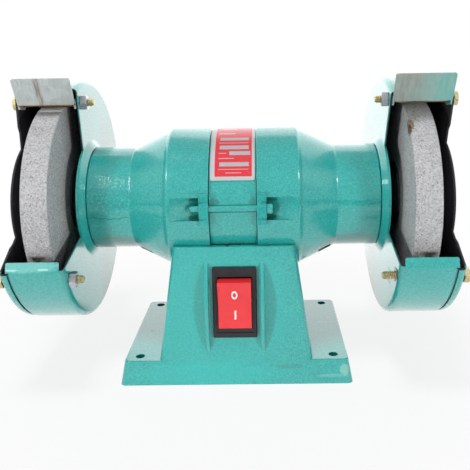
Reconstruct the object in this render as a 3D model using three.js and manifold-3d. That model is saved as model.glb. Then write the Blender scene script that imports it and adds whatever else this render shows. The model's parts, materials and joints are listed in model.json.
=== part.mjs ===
import * as THREE from 'three';
import { mergeVertices } from 'three/addons/utils/BufferGeometryUtils.js';
import Module from 'manifold-3d';

const wasm = await Module();
wasm.setup();

// Bench grinder. Millimetres, +Z up, front towards -Y, shaft along X.
// It is drawn about the middle of its base, on the bench, and moved at the end
// so that the origin is the middle of its whole outer box, on the bench.

// Clearances
const seatGap = 0.3; // between a piece and the neighbour it rests on or is cut by
const runningGap = 0.08; // shaft in its bearings, switch pins in their holes
const faceGap = 0.1; // between two flat faces that meet

// Roundness of the facets
const bigSegments = 32;
const journalSegments = 24;
const midSegments = 16;
const smallSegments = 10;
const weldDistance = 1e-4;

// Shaft line
const axisHeight = 131.5;

// Base casting
const skirtHeight = 18;
const skirtTopHalfX = 84.2;
const skirtTopHalfY = 57.3;
const skirtFlare = 3.2;
const skirtWall = 3.5;
const flangeThickness = 4.5;
const pedestalTopDrop = 26;
const pedestalTop = axisHeight - pedestalTopDrop;
const pedestalFootHalfX = 57.5;
const pedestalHeadHalfX = 44.8;
const pedestalHeadHalfY = 54;
const pedestalWall = 4;
const pedestalCorner = 5;
const skirtCorner = 4;
const saddleThickness = 5;

// Bench holes in the base flange
const benchHoleInsetX = 10.8;
const benchHoleInsetY = 8.1;
const benchHoleX = skirtTopHalfX - benchHoleInsetX;
const benchHoleY = skirtTopHalfY - benchHoleInsetY;
const benchHoleRadius = 3.5;
const benchBossRadius = 6.2;

// Bottom cover
const coverEdgeGap = 0.6;
const coverInsetY = 7.3;
const coverHalfX = benchHoleX - benchBossRadius - coverEdgeGap;
const coverHalfY = skirtTopHalfY - coverInsetY;
const coverBottom = 2.4;
const coverThickness = 1.5;
const coverScrewInsetX = 5.1;
const coverScrewInsetY = 6;
const coverScrewX = coverHalfX - coverScrewInsetX;
const coverScrewY = coverHalfY - coverScrewInsetY;
const coverBossRadius = 4.5;
const coverScrewRadius = 1.5;
const coverScrewHeadRadius = 3.2;
const coverScrewHead = 1.7;
const coverScrewLength = 7;

// Switch and the two fins beside it
const switchDrop = 67.8; // from the shaft line down to the switch
const switchHeight = axisHeight - switchDrop;
const switchBodyHalfX = 14.4;
const switchBodyHalfZ = 23.5;
const switchBodyDepth = 22;
const bezelLapX = 1.8;
const bezelLapZ = 3.6;
const bezelHalfX = switchBodyHalfX + bezelLapX;
const bezelHalfZ = switchBodyHalfZ + bezelLapZ;
const bezelThickness = 2.2;
const rockerInsetX = 2;
const rockerInsetZ = 4.9;
const rockerHalfX = switchBodyHalfX - rockerInsetX;
const rockerHalfZ = switchBodyHalfZ - rockerInsetZ;
const rockerPivotDepth = 3;
const rockerCreaseDepth = 6.2;
const rockerBackDepth = 6;
const rockerShoulder = 0.8; // share of the half height at which the back starts to slope
const rockerHeel = 0.6; // share of the back's depth at that height
const rockerTilt = 8;
const rockerSideGap = 0.35;
const rockerEndGap = 1;
const rockerFloorGap = 1.2;
const pinRadius = 1.3;
const pinLength = 1.2;
const terminalThickness = 0.8;
const terminalHalfWidth = 3;
const terminalLength = 8;
const terminalSpacing = 12;
const finGap = 2.8; // from the bezel to each fin
const finThickness = 2.8;
const finOffset = bezelHalfX + finGap + finThickness / 2;
const finChord = 70;
const finRise = 9;
const finDrop = 3.7; // from the switch's middle down to the fins' middle
const finCentreHeight = switchHeight - finDrop;

// Motor body
const bandHalfLength = 17.1;
const bellRadius = 55.2;
const bellWall = 4.6;
const bellLength = 28.6;
const bandDrop = 2.3;
const bandRadius = bellRadius - bandDrop;
const bellFace = bandHalfLength + seatGap;
const shoulderStart = bellFace + bellLength;
const shoulderLength = 4.6;
const shoulderEnd = shoulderStart + shoulderLength;
const shoulderDrop = 2;
const shoulderBulge = 0.4;
const coneLength = 22.9;
const coneEnd = shoulderEnd + coneLength;
const neckBlend = 5.5;
const neckBlendRise = 1.9;
const neckBlendMiddle = 0.5;
const neckStart = coneEnd + neckBlend;
const neckRadius = 40.1;
const neckWall = 3.9;
const neckLength = 30.4;
const neckEnd = neckStart + neckLength;
const neckEndWall = 5;
const shaftHoleRadius = 9.5;

// Vent windows in the underside of the cone, cut square to its slope
const ventAngles = [-116, -90, -64];
const ventWidth = 16;
const ventLength = 10.5;
const ventFromNeck = 4.5; // from the cone's end to the vent's middle
const ventCut = 7.4; // half depth of the cut

// Tie bolts, their lugs and pockets
const tieAngles = [2.5, 132.5, 232.5];
const tieInset = 2.6;
const tieCircle = bellRadius - tieInset;
const tieRadius = 2.5;
const lugLength = 7;
const lugEnd = bellFace + lugLength;
const lugHalfWidth = 11.7;
const lugProud = 2;
const lugRadius = bellRadius + lugProud;
const pocketSideWall = 3.2;
const pocketHalfWidth = lugHalfWidth - pocketSideWall;
const pocketLength = 21.3;
const pocketDepth = 8.7;
const pocketFloor = bellRadius - pocketDepth;
const pocketBacking = 3.7;
const pocketMargin = 5; // how far the pocket's cut runs past the bell
const tieHeadAcross = 7;
const tieHeadHeight = 4;
const tieTail = 7.3;

// Stator and windings
const coreWall = 5.3;
const coreRadius = bandRadius - coreWall;
const coreDepth = 19.9;
const coreBore = coreRadius - coreDepth;
const coreHalfLength = 22;
const slotCount = 12;
const slotInset = 3.3;
const yokeWidth = 7.6;
const slotInner = coreBore + slotInset;
const slotOuter = coreRadius - yokeWidth;
const slotWidth = 7;
const windingInset = 2.8;
const windingMargin = 6.1;
const windingInner = coreBore + windingInset;
const windingOuter = coreRadius - windingMargin;
const windingLength = 14;
const windingCrown = 2; // half width of the flat crown
const windingShoulder = 0.7; // share of the length that stays at full width

// Rotor and shaft
const airGap = 0.5;
const rotorRadius = coreBore - airGap;
const rotorHalfLength = 21.5;
const shaftCoreRadius = 9.5;
const cageRingInset = 3.2;
const cageRingClearance = 5.5;
const cageRingOuter = rotorRadius - cageRingInset;
const cageRingInner = shaftCoreRadius + cageRingClearance;
const cageRingLength = 5;
const shaftCoreOverhang = 2;
const shaftRadius = 8.5;
const journalRadius = 7.5;
const arborRadius = 6.35;

// Bearings
const bearingRadius = 17.4;
const bearingWidth = 11;
const bearingHubWall = 4.6;
const bearingHubRadius = bearingRadius + seatGap + bearingHubWall;

// Wheels, flanges and nuts
const wheelRadius = 76;
const wheelThickness = 19;
const wheelSetback = 16.6; // from the end of the neck to the wheel
const wheelInnerFace = neckEnd + wheelSetback;
const wheelChamfer = 0.8;
const flangeRadius = 26;
const flangeHubRadius = 12;
const innerFlangeLength = 5.6;
const outerFlangeLength = 4.8;
const flangeRimThickness = 1.5;
const flangeRecess = 1;
const flangeContactWidth = 6;
const arborNutAcross = 19;
const arborNutHeight = 6;
const arborTail = 1;

// Guards
const wheelClearance = 16.7;
const guardRadius = wheelRadius + wheelClearance;
const panBossHeight = 4.5;
const guardInnerFace = neckEnd + panBossHeight;
const guardCorner = 4;
const sheet = 1.5;
const drumLength = 38.3;
const drumEnd = guardInnerFace + drumLength;
const rimGap = 2;
const rimStart = drumEnd + rimGap;
const rimLength = 6;
const guardOuterFace = rimStart + rimLength;
const rimStep = 0.5;
const rimRadius = guardRadius - rimStep;
const spigotLength = 4;
const panBossLap = 0.8;
const panBossFlare = 5;
const panBossFaceRadius = neckRadius + panBossLap;
const panBossRadius = panBossFaceRadius + panBossFlare;
const panHoleRadius = 14;
const mouthRimAngle = { right: 64.6, left: 73 }; // upper corner of the mouth at the rim
const mouthHubMargin = 0.4;
const mouthHubRadius = panBossRadius + mouthHubMargin;
const mouthHubTopAngle = 63.5;
const mouthHubAngle = -26.5;
const mouthLowerSlope = 12.8;
const coverArcForward = 8; // from the shaft line to the middle of the arc cut in the cover
const coverArcRadius = 47.7;
const coverArcTopAngle = 66.8;
const coverArcLowAngle = -21;
const coverLowerSlope = 28.5;
const lipHeight = 6.2;
const lipLean = 19;
const lipInset = 3.5;
const lipOverhang = 1.8; // past the end of the drum
const guardScrewCircle = 30;
const guardScrewAngles = [90, 210, 330];
const guardScrewRadius = 2;
const guardScrewHeadRadius = 4;
const guardScrewHead = 2.6;
const guardScrewReach = 4.2;

// Long bolts through the guards, with their nuts
const upperBoltInset = { right: 10, left: 13.3 };
const upperBoltAngle = { right: 69.1, left: 76.9 };
const lowerBoltInset = 7.2;
const rearBoltInset = 7.2;
const guardBolts = (side) => [
  { place: 'upper', circle: guardRadius - upperBoltInset[side], angle: upperBoltAngle[side] },
  { place: 'lower', circle: guardRadius - lowerBoltInset, angle: -29 },
  { place: 'rear', circle: guardRadius - rearBoltInset, angle: 165 },
];
const guardBoltRadius = 2.9;
const guardBoltAcross = 10;
const guardBoltHead = 4;
const guardNutHeight = 5;
const guardBoltTail = 4.6;

// Spark deflectors, hung on the upper bolts
const deflectorThickness = 1.2;
const deflectorAngle = 63;
const deflectorAhead = 8.1; // from the bolt forward to the back of the plate
const deflectorRoot = 3.7; // from the bolt's line out to the plate's inner edge
const deflectorLength = 22;
const earGrip = 1.8;
const earWeb = 3.3;
const earEyeRadius = 5;

// Nameplate
const plateFrom = 24.5;
const plateTo = 93;
const plateHalfLength = 16.3;
const plateThickness = 0.6;

// Capacitor, clip and cord grommet in the base
const capacitorRadius = 15;
const capacitorLength = 52;
const capacitorY = 18;
const capacitorNeckInset = 4;
const capacitorNeck = 3;
const clipThickness = 1.3;
const clipWidth = 14;
const clipFoot = 9;
const grommetHeight = 34;
const grommetHoleRadius = 6;
const grommetLap = 2.6;
const grommetFlangeRadius = grommetHoleRadius + grommetLap;
const grommetFlange = 2.4;
const grommetBore = 3.6;

// Bolts that hold the motor on its saddle, and the wire hole between them
const motorBoltY = 15;
const motorBoltRadius = 2.9;
const motorBoltAcross = 10;
const motorBoltHead = 4;
const motorBoltBossRadius = 7.5;
const motorBoltBossDrop = 3.4;
const motorBoltShort = 0.2;
const motorBoltTip = coreRadius - motorBoltShort;
const wireHoleRadius = 5;

// Materials
const finishes = {
  enamel: { color: 0x3fb0a2, roughness: 0.38, metalness: 0.0 },
  plated: { color: 0xc9ccc8, roughness: 0.35, metalness: 0.9 },
  steel: { color: 0x9aa3a2, roughness: 0.4, metalness: 0.85 },
  rawSheet: { color: 0xa9b4ae, roughness: 0.45, metalness: 0.6 },
  grit: { color: 0xb7bab9, roughness: 0.95, metalness: 0.0 },
  lamination: { color: 0x6f7274, roughness: 0.55, metalness: 0.7 },
  copper: { color: 0xb5673a, roughness: 0.45, metalness: 0.6 },
  darkIron: { color: 0x3a3b3c, roughness: 0.6, metalness: 0.4 },
  blackPlastic: { color: 0x26272b, roughness: 0.4, metalness: 0.0 },
  redPlastic: { color: 0xf03a3e, roughness: 0.3, metalness: 0.0 },
  plateRed: { color: 0xd8353a, roughness: 0.4, metalness: 0.1 },
  canister: { color: 0xd6d8d6, roughness: 0.5, metalness: 0.1 },
  rubber: { color: 0x1d1e1f, roughness: 0.8, metalness: 0.0 },
};

// ---- Geometry helpers ----

const rad = THREE.MathUtils.degToRad;

// Direction in the Y-Z plane, counted upwards from the front (-Y).
function spoke(angle, radius) {
  return { y: -Math.cos(rad(angle)) * radius, z: Math.sin(rad(angle)) * radius };
}

function solidOf(geometry) {
  const bare = geometry.clone();
  bare.deleteAttribute('normal');
  bare.deleteAttribute('uv');
  const welded = mergeVertices(bare, weldDistance);
  const corners = welded.index.array;
  const kept = [];
  for (let i = 0; i < corners.length; i += 3) {
    const [a, b, c] = [corners[i], corners[i + 1], corners[i + 2]];
    if (a !== b && b !== c && c !== a) kept.push(a, b, c);
  }
  return new wasm.Manifold(new wasm.Mesh({
    numProp: 3,
    vertProperties: new Float32Array(welded.getAttribute('position').array),
    triVerts: new Uint32Array(kept),
  }));
}

function geometryOf(solid) {
  const mesh = solid.getMesh();
  const geometry = new THREE.BufferGeometry();
  geometry.setAttribute('position', new THREE.BufferAttribute(new Float32Array(mesh.vertProperties), 3));
  geometry.setIndex(new THREE.BufferAttribute(new Uint32Array(mesh.triVerts), 1));
  geometry.computeVertexNormals();
  return geometry;
}

function joined(...geometries) {
  return geometries.map(solidOf).reduce((whole, next) => whole.add(next));
}

function cut(solid, ...tools) {
  return tools.reduce((left, tool) => left.subtract(solidOf(tool)), solid);
}

function box(fromX, toX, fromY, toY, fromZ, toZ) {
  const geometry = new THREE.BoxGeometry(toX - fromX, toY - fromY, toZ - fromZ);
  geometry.translate((fromX + toX) / 2, (fromY + toY) / 2, (fromZ + toZ) / 2);
  return geometry;
}

// Outline of [along X, radius] pairs, turned about X. It closes on itself unless it ends on the axis.
function turned(outline, segments = midSegments) {
  const points = outline.map(([along, radius]) => new THREE.Vector2(radius, along));
  const endsOnAxis = points[0].x === 0 && points[points.length - 1].x === 0;
  if (THREE.ShapeUtils.area(points) < 0) points.reverse();
  if (!endsOnAxis) points.push(points[0].clone());
  const geometry = new THREE.LatheGeometry(points, segments);
  geometry.rotateZ(-Math.PI / 2);
  return geometry;
}

function rodX(radius, fromX, toX, segments = smallSegments) {
  const geometry = new THREE.CylinderGeometry(radius, radius, toX - fromX, segments);
  geometry.rotateZ(-Math.PI / 2);
  geometry.translate((fromX + toX) / 2, 0, 0);
  return geometry;
}

function rodZ(radius, fromZ, toZ, segments = smallSegments) {
  const geometry = new THREE.CylinderGeometry(radius, radius, toZ - fromZ, segments);
  geometry.rotateX(Math.PI / 2);
  geometry.translate(0, 0, (fromZ + toZ) / 2);
  return geometry;
}

function hexX(acrossFlats, fromX, toX) {
  return rodX(acrossFlats / Math.sqrt(3), fromX, toX, 6);
}

function hexZ(acrossFlats, fromZ, toZ) {
  return rodZ(acrossFlats / Math.sqrt(3), fromZ, toZ, 6);
}

// Shape drawn in the Y-Z plane, extruded along X.
function alongX(shape, fromX, toX, curveSegments = 12) {
  const geometry = new THREE.ExtrudeGeometry(shape, { depth: toX - fromX, bevelEnabled: false, curveSegments });
  const basis = new THREE.Matrix4().makeBasis(
    new THREE.Vector3(0, 1, 0),
    new THREE.Vector3(0, 0, 1),
    new THREE.Vector3(1, 0, 0),
  );
  geometry.applyMatrix4(basis);
  geometry.translate(fromX, 0, 0);
  return geometry;
}

function polygon(points) {
  return new THREE.Shape(points.map(([across, up]) => new THREE.Vector2(across, up)));
}

function roundedRectangle(halfX, halfY, corner) {
  const shape = new THREE.Shape();
  shape.moveTo(halfX, -halfY + corner);
  shape.absarc(halfX - corner, halfY - corner, corner, 0, Math.PI / 2);
  shape.absarc(-halfX + corner, halfY - corner, corner, Math.PI / 2, Math.PI);
  shape.absarc(-halfX + corner, -halfY + corner, corner, Math.PI, 1.5 * Math.PI);
  shape.absarc(halfX - corner, -halfY + corner, corner, 1.5 * Math.PI, 2 * Math.PI);
  return shape;
}

// Rounded block that narrows from its foot to its head.
function taperedBlock(foot, head, fromZ, toZ, corner) {
  const shape = roundedRectangle(foot.halfX, foot.halfY, corner);
  const geometry = new THREE.ExtrudeGeometry(shape, { depth: toZ - fromZ, bevelEnabled: false, curveSegments: 3 });
  const position = geometry.getAttribute('position');
  for (let i = 0; i < position.count; i += 1) {
    if (position.getZ(i) > (toZ - fromZ) / 2) {
      position.setX(i, position.getX(i) * head.halfX / foot.halfX);
      position.setY(i, position.getY(i) * head.halfY / foot.halfY);
    }
  }
  geometry.translate(0, 0, fromZ);
  return geometry;
}

function mirroredX(geometry) {
  const mirror = geometry.clone();
  mirror.scale(-1, 1, 1);
  const corners = mirror.index.array;
  for (let i = 0; i < corners.length; i += 3) {
    [corners[i + 1], corners[i + 2]] = [corners[i + 2], corners[i + 1]];
  }
  mirror.computeVertexNormals();
  return mirror;
}

// Turns a tool built at the front (-Y) to another angle round the shaft.
function atAngle(geometry, angle) {
  return geometry.clone().rotateX(-rad(angle));
}

function quarterTurn(centreX, centreRadius, radius, fromAngle, toAngle, steps = 3) {
  const points = [];
  for (let i = 0; i <= steps; i += 1) {
    const angle = rad(fromAngle + (toAngle - fromAngle) * i / steps);
    points.push([centreX + Math.cos(angle) * radius, centreRadius + Math.sin(angle) * radius]);
  }
  return points;
}

// Holes for the screws that hold a guard on the motor's neck.
function guardScrewHoles(fromX, toX) {
  return guardScrewAngles.map((angle) => {
    const place = spoke(angle, guardScrewCircle);
    return rodX(guardScrewRadius + seatGap, fromX, toX).translate(0, place.y, place.z);
  });
}

// ---- Scene graph ----

const grinder = new THREE.Group();
const motor = new THREE.Group();
motor.position.z = axisHeight;
grinder.add(motor);

function addMesh(parent, name, geometry, finish) {
  const mesh = new THREE.Mesh(geometry, new THREE.MeshStandardMaterial(finishes[finish]));
  mesh.name = name;
  parent.add(mesh);
  return mesh;
}

function addSolid(parent, name, solid, finish) {
  return addMesh(parent, name, geometryOf(solid), finish);
}

function addBothSides(name, solid, finish) {
  const right = geometryOf(solid);
  addMesh(motor, `right_${name}`, right, finish);
  addMesh(motor, `left_${name}`, mirroredX(right), finish);
}

// For a piece that differs a little from side to side. Both are drawn as right-hand pieces.
function addEachSide(name, make, finish) {
  addMesh(motor, `right_${name}`, geometryOf(make('right')), finish);
  addMesh(motor, `left_${name}`, mirroredX(geometryOf(make('left'))), finish);
}

// ---- Base ----

const pedestalRise = pedestalTop - skirtHeight;
const faceSlope = (skirtTopHalfY - pedestalHeadHalfY) / pedestalRise;
const sideSlope = (pedestalFootHalfX - pedestalHeadHalfX) / pedestalRise;
const faceTilt = Math.atan(faceSlope);
const flangeUnderside = skirtHeight - flangeThickness;
const saddleUnderside = bellRadius + seatGap + saddleThickness;
const motorBoltSeat = saddleUnderside + motorBoltBossDrop;

function pedestalAt(height, wall) {
  return {
    halfX: pedestalFootHalfX - sideSlope * (height - skirtHeight) - wall,
    halfY: skirtTopHalfY - faceSlope * (height - skirtHeight) - wall,
  };
}

function skirtAt(height, wall) {
  const flare = skirtFlare * (1 - height / skirtHeight);
  return { halfX: skirtTopHalfX + flare - wall, halfY: skirtTopHalfY + flare - wall };
}

function fin(side) {
  const chordRadius = (finChord ** 2 / 4 + finRise ** 2) / (2 * finRise);
  const halfSweep = Math.asin(finChord / 2 / chordRadius);
  const rootDepth = pedestalWall / 2;
  const shape = new THREE.Shape();
  shape.moveTo(rootDepth, -finChord / 2);
  shape.lineTo(rootDepth, finChord / 2);
  shape.absarc(chordRadius - finRise, 0, chordRadius, Math.PI - halfSweep, Math.PI + halfSweep);
  const middle = side * finOffset;
  const geometry = alongX(shape, middle - finThickness / 2, middle + finThickness / 2, midSegments);
  geometry.rotateX(-faceTilt);
  geometry.translate(0, -pedestalAt(finCentreHeight, 0).halfY, finCentreHeight);
  return geometry;
}

function motorCylinder(radius) {
  const geometry = rodX(radius, -2 * skirtTopHalfX, 2 * skirtTopHalfX, bigSegments);
  geometry.translate(0, 0, axisHeight);
  return geometry;
}

function lowerLugRelief() {
  const reach = bandHalfLength + seatGap + lugLength + seatGap + tieHeadHeight + seatGap;
  const halfWidth = lugHalfWidth + seatGap;
  const relief = atAngle(box(-reach, reach, -lugRadius - seatGap, 0, -halfWidth, halfWidth), tieAngles[2]);
  relief.translate(0, 0, axisHeight);
  return relief;
}

function switchCutter(halfX, halfZ, fromY, toY) {
  const geometry = box(-halfX, halfX, fromY, toY, -halfZ, halfZ);
  geometry.rotateX(-faceTilt);
  geometry.translate(0, -pedestalAt(switchHeight, 0).halfY, switchHeight);
  return geometry;
}

function fourCorners(x, y, make) {
  const places = [[x, y], [-x, y], [-x, -y], [x, -y]];
  return places.map(([placeX, placeY]) => make().translate(placeX, placeY, 0));
}

function basePedestal() {
  const pedestalRoot = skirtHeight - flangeThickness / 2;
  let casting = joined(
    taperedBlock(skirtAt(0, 0), skirtAt(skirtHeight, 0), 0, skirtHeight, skirtCorner),
    taperedBlock(pedestalAt(pedestalRoot, 0), pedestalAt(pedestalTop, 0), pedestalRoot, pedestalTop, pedestalCorner),
  );
  const innerCorner = pedestalCorner - pedestalWall + 1;
  const skirtHollow = taperedBlock(
    skirtAt(-1, skirtWall), skirtAt(flangeUnderside, skirtWall), -1, flangeUnderside, innerCorner);
  const pedestalHollow = taperedBlock(
    pedestalAt(-1, pedestalWall), pedestalAt(pedestalTop, pedestalWall), -1, pedestalTop, innerCorner);
  const hollow = solidOf(pedestalHollow).subtract(solidOf(motorCylinder(saddleUnderside)));
  casting = cut(casting, skirtHollow).subtract(hollow);
  const benchBosses = fourCorners(benchHoleX, benchHoleY, () => rodZ(benchBossRadius, 0, skirtHeight, midSegments));
  const coverTop = coverBottom + coverThickness;
  const coverBosses = fourCorners(coverScrewX, coverScrewY,
    () => rodZ(coverBossRadius, coverTop + faceGap, skirtHeight - 1));
  const motorBosses = [-motorBoltY, motorBoltY].map((y) => {
    const boss = rodZ(motorBoltBossRadius, axisHeight - motorBoltSeat, axisHeight - bandRadius, midSegments);
    return boss.translate(0, y, 0);
  });
  const additions = [...benchBosses, ...coverBosses, ...motorBosses, fin(-1), fin(1)];
  casting = additions.reduce((whole, extra) => whole.add(solidOf(extra)), casting);
  const benchHoles = fourCorners(benchHoleX, benchHoleY,
    () => rodZ(benchHoleRadius, -1, skirtHeight + 1, midSegments));
  const screwHoles = fourCorners(coverScrewX, coverScrewY,
    () => rodZ(coverScrewRadius + seatGap, 0, coverBottom + coverThickness + coverScrewLength));
  const motorHoles = [-motorBoltY, motorBoltY].map(
    (y) => rodZ(motorBoltRadius + seatGap, 0, axisHeight).translate(0, y, 0));
  const wireHole = rodZ(wireHoleRadius, axisHeight / 2, axisHeight, midSegments);
  const cordHole = rodZ(grommetHoleRadius, -pedestalWall * 2, pedestalWall * 2, midSegments);
  cordHole.rotateX(Math.PI / 2);
  cordHole.translate(0, pedestalAt(grommetHeight, 0).halfY, grommetHeight);
  const bodyCut = switchCutter(switchBodyHalfX + seatGap, switchBodyHalfZ + seatGap, -bezelThickness, switchBodyDepth);
  return cut(casting, motorCylinder(bellRadius + seatGap), lowerLugRelief(), bodyCut, cordHole, wireHole,
    ...benchHoles, ...screwHoles, ...motorHoles);
}

function bottomCover() {
  const plate = new THREE.ExtrudeGeometry(
    roundedRectangle(coverHalfX, coverHalfY, skirtCorner),
    { depth: coverThickness, bevelEnabled: false, curveSegments: 3 },
  );
  plate.translate(0, 0, coverBottom);
  const holes = fourCorners(coverScrewX, coverScrewY,
    () => rodZ(coverScrewRadius + seatGap, 0, coverBottom + coverThickness + 1));
  return cut(solidOf(plate), ...holes);
}

function coverScrew() {
  const head = rodZ(coverScrewHeadRadius, coverBottom - faceGap - coverScrewHead, coverBottom - faceGap);
  const shank = rodZ(coverScrewRadius, coverBottom - coverScrewHead, coverBottom + coverScrewLength);
  return joined(head, shank);
}

addSolid(grinder, 'base_pedestal', basePedestal(), 'enamel');
addSolid(grinder, 'bottom_cover', bottomCover(), 'steel');
const screwGeometry = geometryOf(coverScrew());
[[1, 1], [-1, 1], [-1, -1], [1, -1]].forEach(([sideX, sideY], index) => {
  const screw = addMesh(grinder, `bottom_cover_screw_${index + 1}`, screwGeometry.clone(), 'plated');
  screw.position.set(sideX * coverScrewX, sideY * coverScrewY, 0);
});

// ---- Switch ----

const switchGroup = new THREE.Group();
switchGroup.position.set(0, -pedestalAt(switchHeight, 0).halfY, switchHeight);
switchGroup.rotation.x = -faceTilt;
grinder.add(switchGroup);

function switchBody() {
  const bezelBack = -seatGap;
  const bezelFront = bezelBack - bezelThickness;
  const bezel = box(-bezelHalfX, bezelHalfX, bezelFront, bezelBack, -bezelHalfZ, bezelHalfZ);
  const body = box(-switchBodyHalfX, switchBodyHalfX, bezelFront + 1, switchBodyDepth,
    -switchBodyHalfZ, switchBodyHalfZ);
  const terminals = [-terminalSpacing, 0, terminalSpacing].map((height) => box(
    -terminalHalfWidth, terminalHalfWidth, switchBodyDepth - 1, switchBodyDepth + terminalLength,
    height - terminalThickness / 2, height + terminalThickness / 2));
  const pocketHalfX = rockerHalfX + rockerSideGap;
  const pocketHalfZ = rockerHalfZ + rockerEndGap;
  const pocketFloorY = rockerPivotDepth + rockerBackDepth + rockerFloorGap;
  const pocket = box(-pocketHalfX, pocketHalfX, bezelFront - 1, pocketFloorY, -pocketHalfZ, pocketHalfZ);
  const pinHole = rodX(pinRadius + runningGap, -rockerHalfX - pinLength - seatGap, rockerHalfX + pinLength + seatGap);
  pinHole.translate(0, rockerPivotDepth, 0);
  return cut(joined(bezel, body, ...terminals), pocket, pinHole);
}

function rocker() {
  const rise = rockerHalfZ * Math.tan(rad(rockerTilt));
  const front = -rockerCreaseDepth;
  const shoulder = rockerHalfZ * rockerShoulder;
  const outline = polygon([
    [front, 0],
    [front - rise, -rockerHalfZ],
    [0, -rockerHalfZ],
    [rockerBackDepth * rockerHeel, -shoulder],
    [rockerBackDepth, -shoulder / 2],
    [rockerBackDepth, shoulder / 2],
    [rockerBackDepth * rockerHeel, shoulder],
    [0, rockerHalfZ],
    [front - rise, rockerHalfZ],
  ]);
  const reach = rockerHalfX + pinLength;
  return joined(alongX(outline, -rockerHalfX, rockerHalfX), rodX(pinRadius, -reach, reach));
}

addSolid(switchGroup, 'switch_body', switchBody(), 'blackPlastic');
const rockerMesh = addSolid(switchGroup, 'switch_rocker', rocker(), 'redPlastic');
rockerMesh.position.y = rockerPivotDepth;
rockerMesh.rotation.x = rad(rockerTilt);

// ---- Capacitor, clip and grommet ----

const coverTop = coverBottom + coverThickness;
const capacitorHeight = coverTop + seatGap + capacitorRadius;

function capacitor() {
  const end = capacitorLength / 2;
  return solidOf(turned([
    [-end, 0],
    [-end, capacitorRadius],
    [end - capacitorNeck, capacitorRadius],
    [end - capacitorNeck, capacitorRadius - capacitorNeckInset],
    [end, capacitorRadius - capacitorNeckInset],
    [end, 0],
  ]));
}

function capacitorClip() {
  const inner = capacitorRadius + seatGap;
  const outer = inner + clipThickness;
  const footLevel = coverTop + faceGap - capacitorHeight;
  const strap = new THREE.Shape();
  strap.moveTo(outer + clipFoot, footLevel);
  strap.lineTo(outer + clipFoot, footLevel + clipThickness);
  strap.lineTo(outer, footLevel + clipThickness);
  strap.absarc(0, 0, outer, 0, Math.PI);
  strap.lineTo(-outer, footLevel + clipThickness);
  strap.lineTo(-outer - clipFoot, footLevel + clipThickness);
  strap.lineTo(-outer - clipFoot, footLevel);
  strap.lineTo(-inner, footLevel);
  strap.absarc(0, 0, inner, Math.PI, 0, true);
  strap.lineTo(inner, footLevel);
  return solidOf(alongX(strap, -clipWidth / 2, clipWidth / 2, smallSegments));
}

function cordGrommet() {
  const inside = -pedestalWall - seatGap;
  return solidOf(turned([
    [seatGap + grommetFlange, grommetBore],
    [seatGap + grommetFlange, grommetFlangeRadius - 1],
    [seatGap + grommetFlange / 2, grommetFlangeRadius],
    [seatGap, grommetFlangeRadius],
    [seatGap, grommetHoleRadius - seatGap],
    [inside, grommetHoleRadius - seatGap],
    [inside, grommetFlangeRadius],
    [inside - grommetFlange, grommetFlangeRadius],
    [inside - grommetFlange, grommetBore],
  ], midSegments));
}

const capacitorMesh = addSolid(grinder, 'capacitor', capacitor(), 'canister');
capacitorMesh.position.set(0, capacitorY, capacitorHeight);
const clipMesh = addSolid(grinder, 'capacitor_clip', capacitorClip(), 'plated');
clipMesh.position.set(0, capacitorY, capacitorHeight);
const grommetMesh = addSolid(grinder, 'cord_grommet', cordGrommet(), 'rubber');
grommetMesh.position.set(0, pedestalAt(grommetHeight, 0).halfY, grommetHeight);
grommetMesh.rotation.z = Math.PI / 2;
grommetMesh.rotation.y = -faceTilt;
grommetMesh.rotation.order = 'ZYX';

// ---- Motor body ----

function tieHole(radius, reach) {
  return rodX(radius, -reach, reach).translate(0, -tieCircle, 0);
}

function statorHousing() {
  const bore = coreRadius + seatGap;
  let ring = solidOf(turned([
    [-bandHalfLength, bore],
    [-bandHalfLength, bandRadius],
    [bandHalfLength, bandRadius],
    [bandHalfLength, bore],
  ], bigSegments));
  for (const angle of tieAngles) {
    ring = cut(ring, atAngle(tieHole(tieRadius + seatGap, bandHalfLength + 1), angle));
  }
  const boltHoles = [-motorBoltY, motorBoltY].map(
    (y) => rodZ(motorBoltRadius + seatGap, -bellRadius, 0).translate(0, y, 0));
  return cut(ring, rodZ(wireHoleRadius, -bellRadius, 0, midSegments), ...boltHoles);
}

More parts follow.
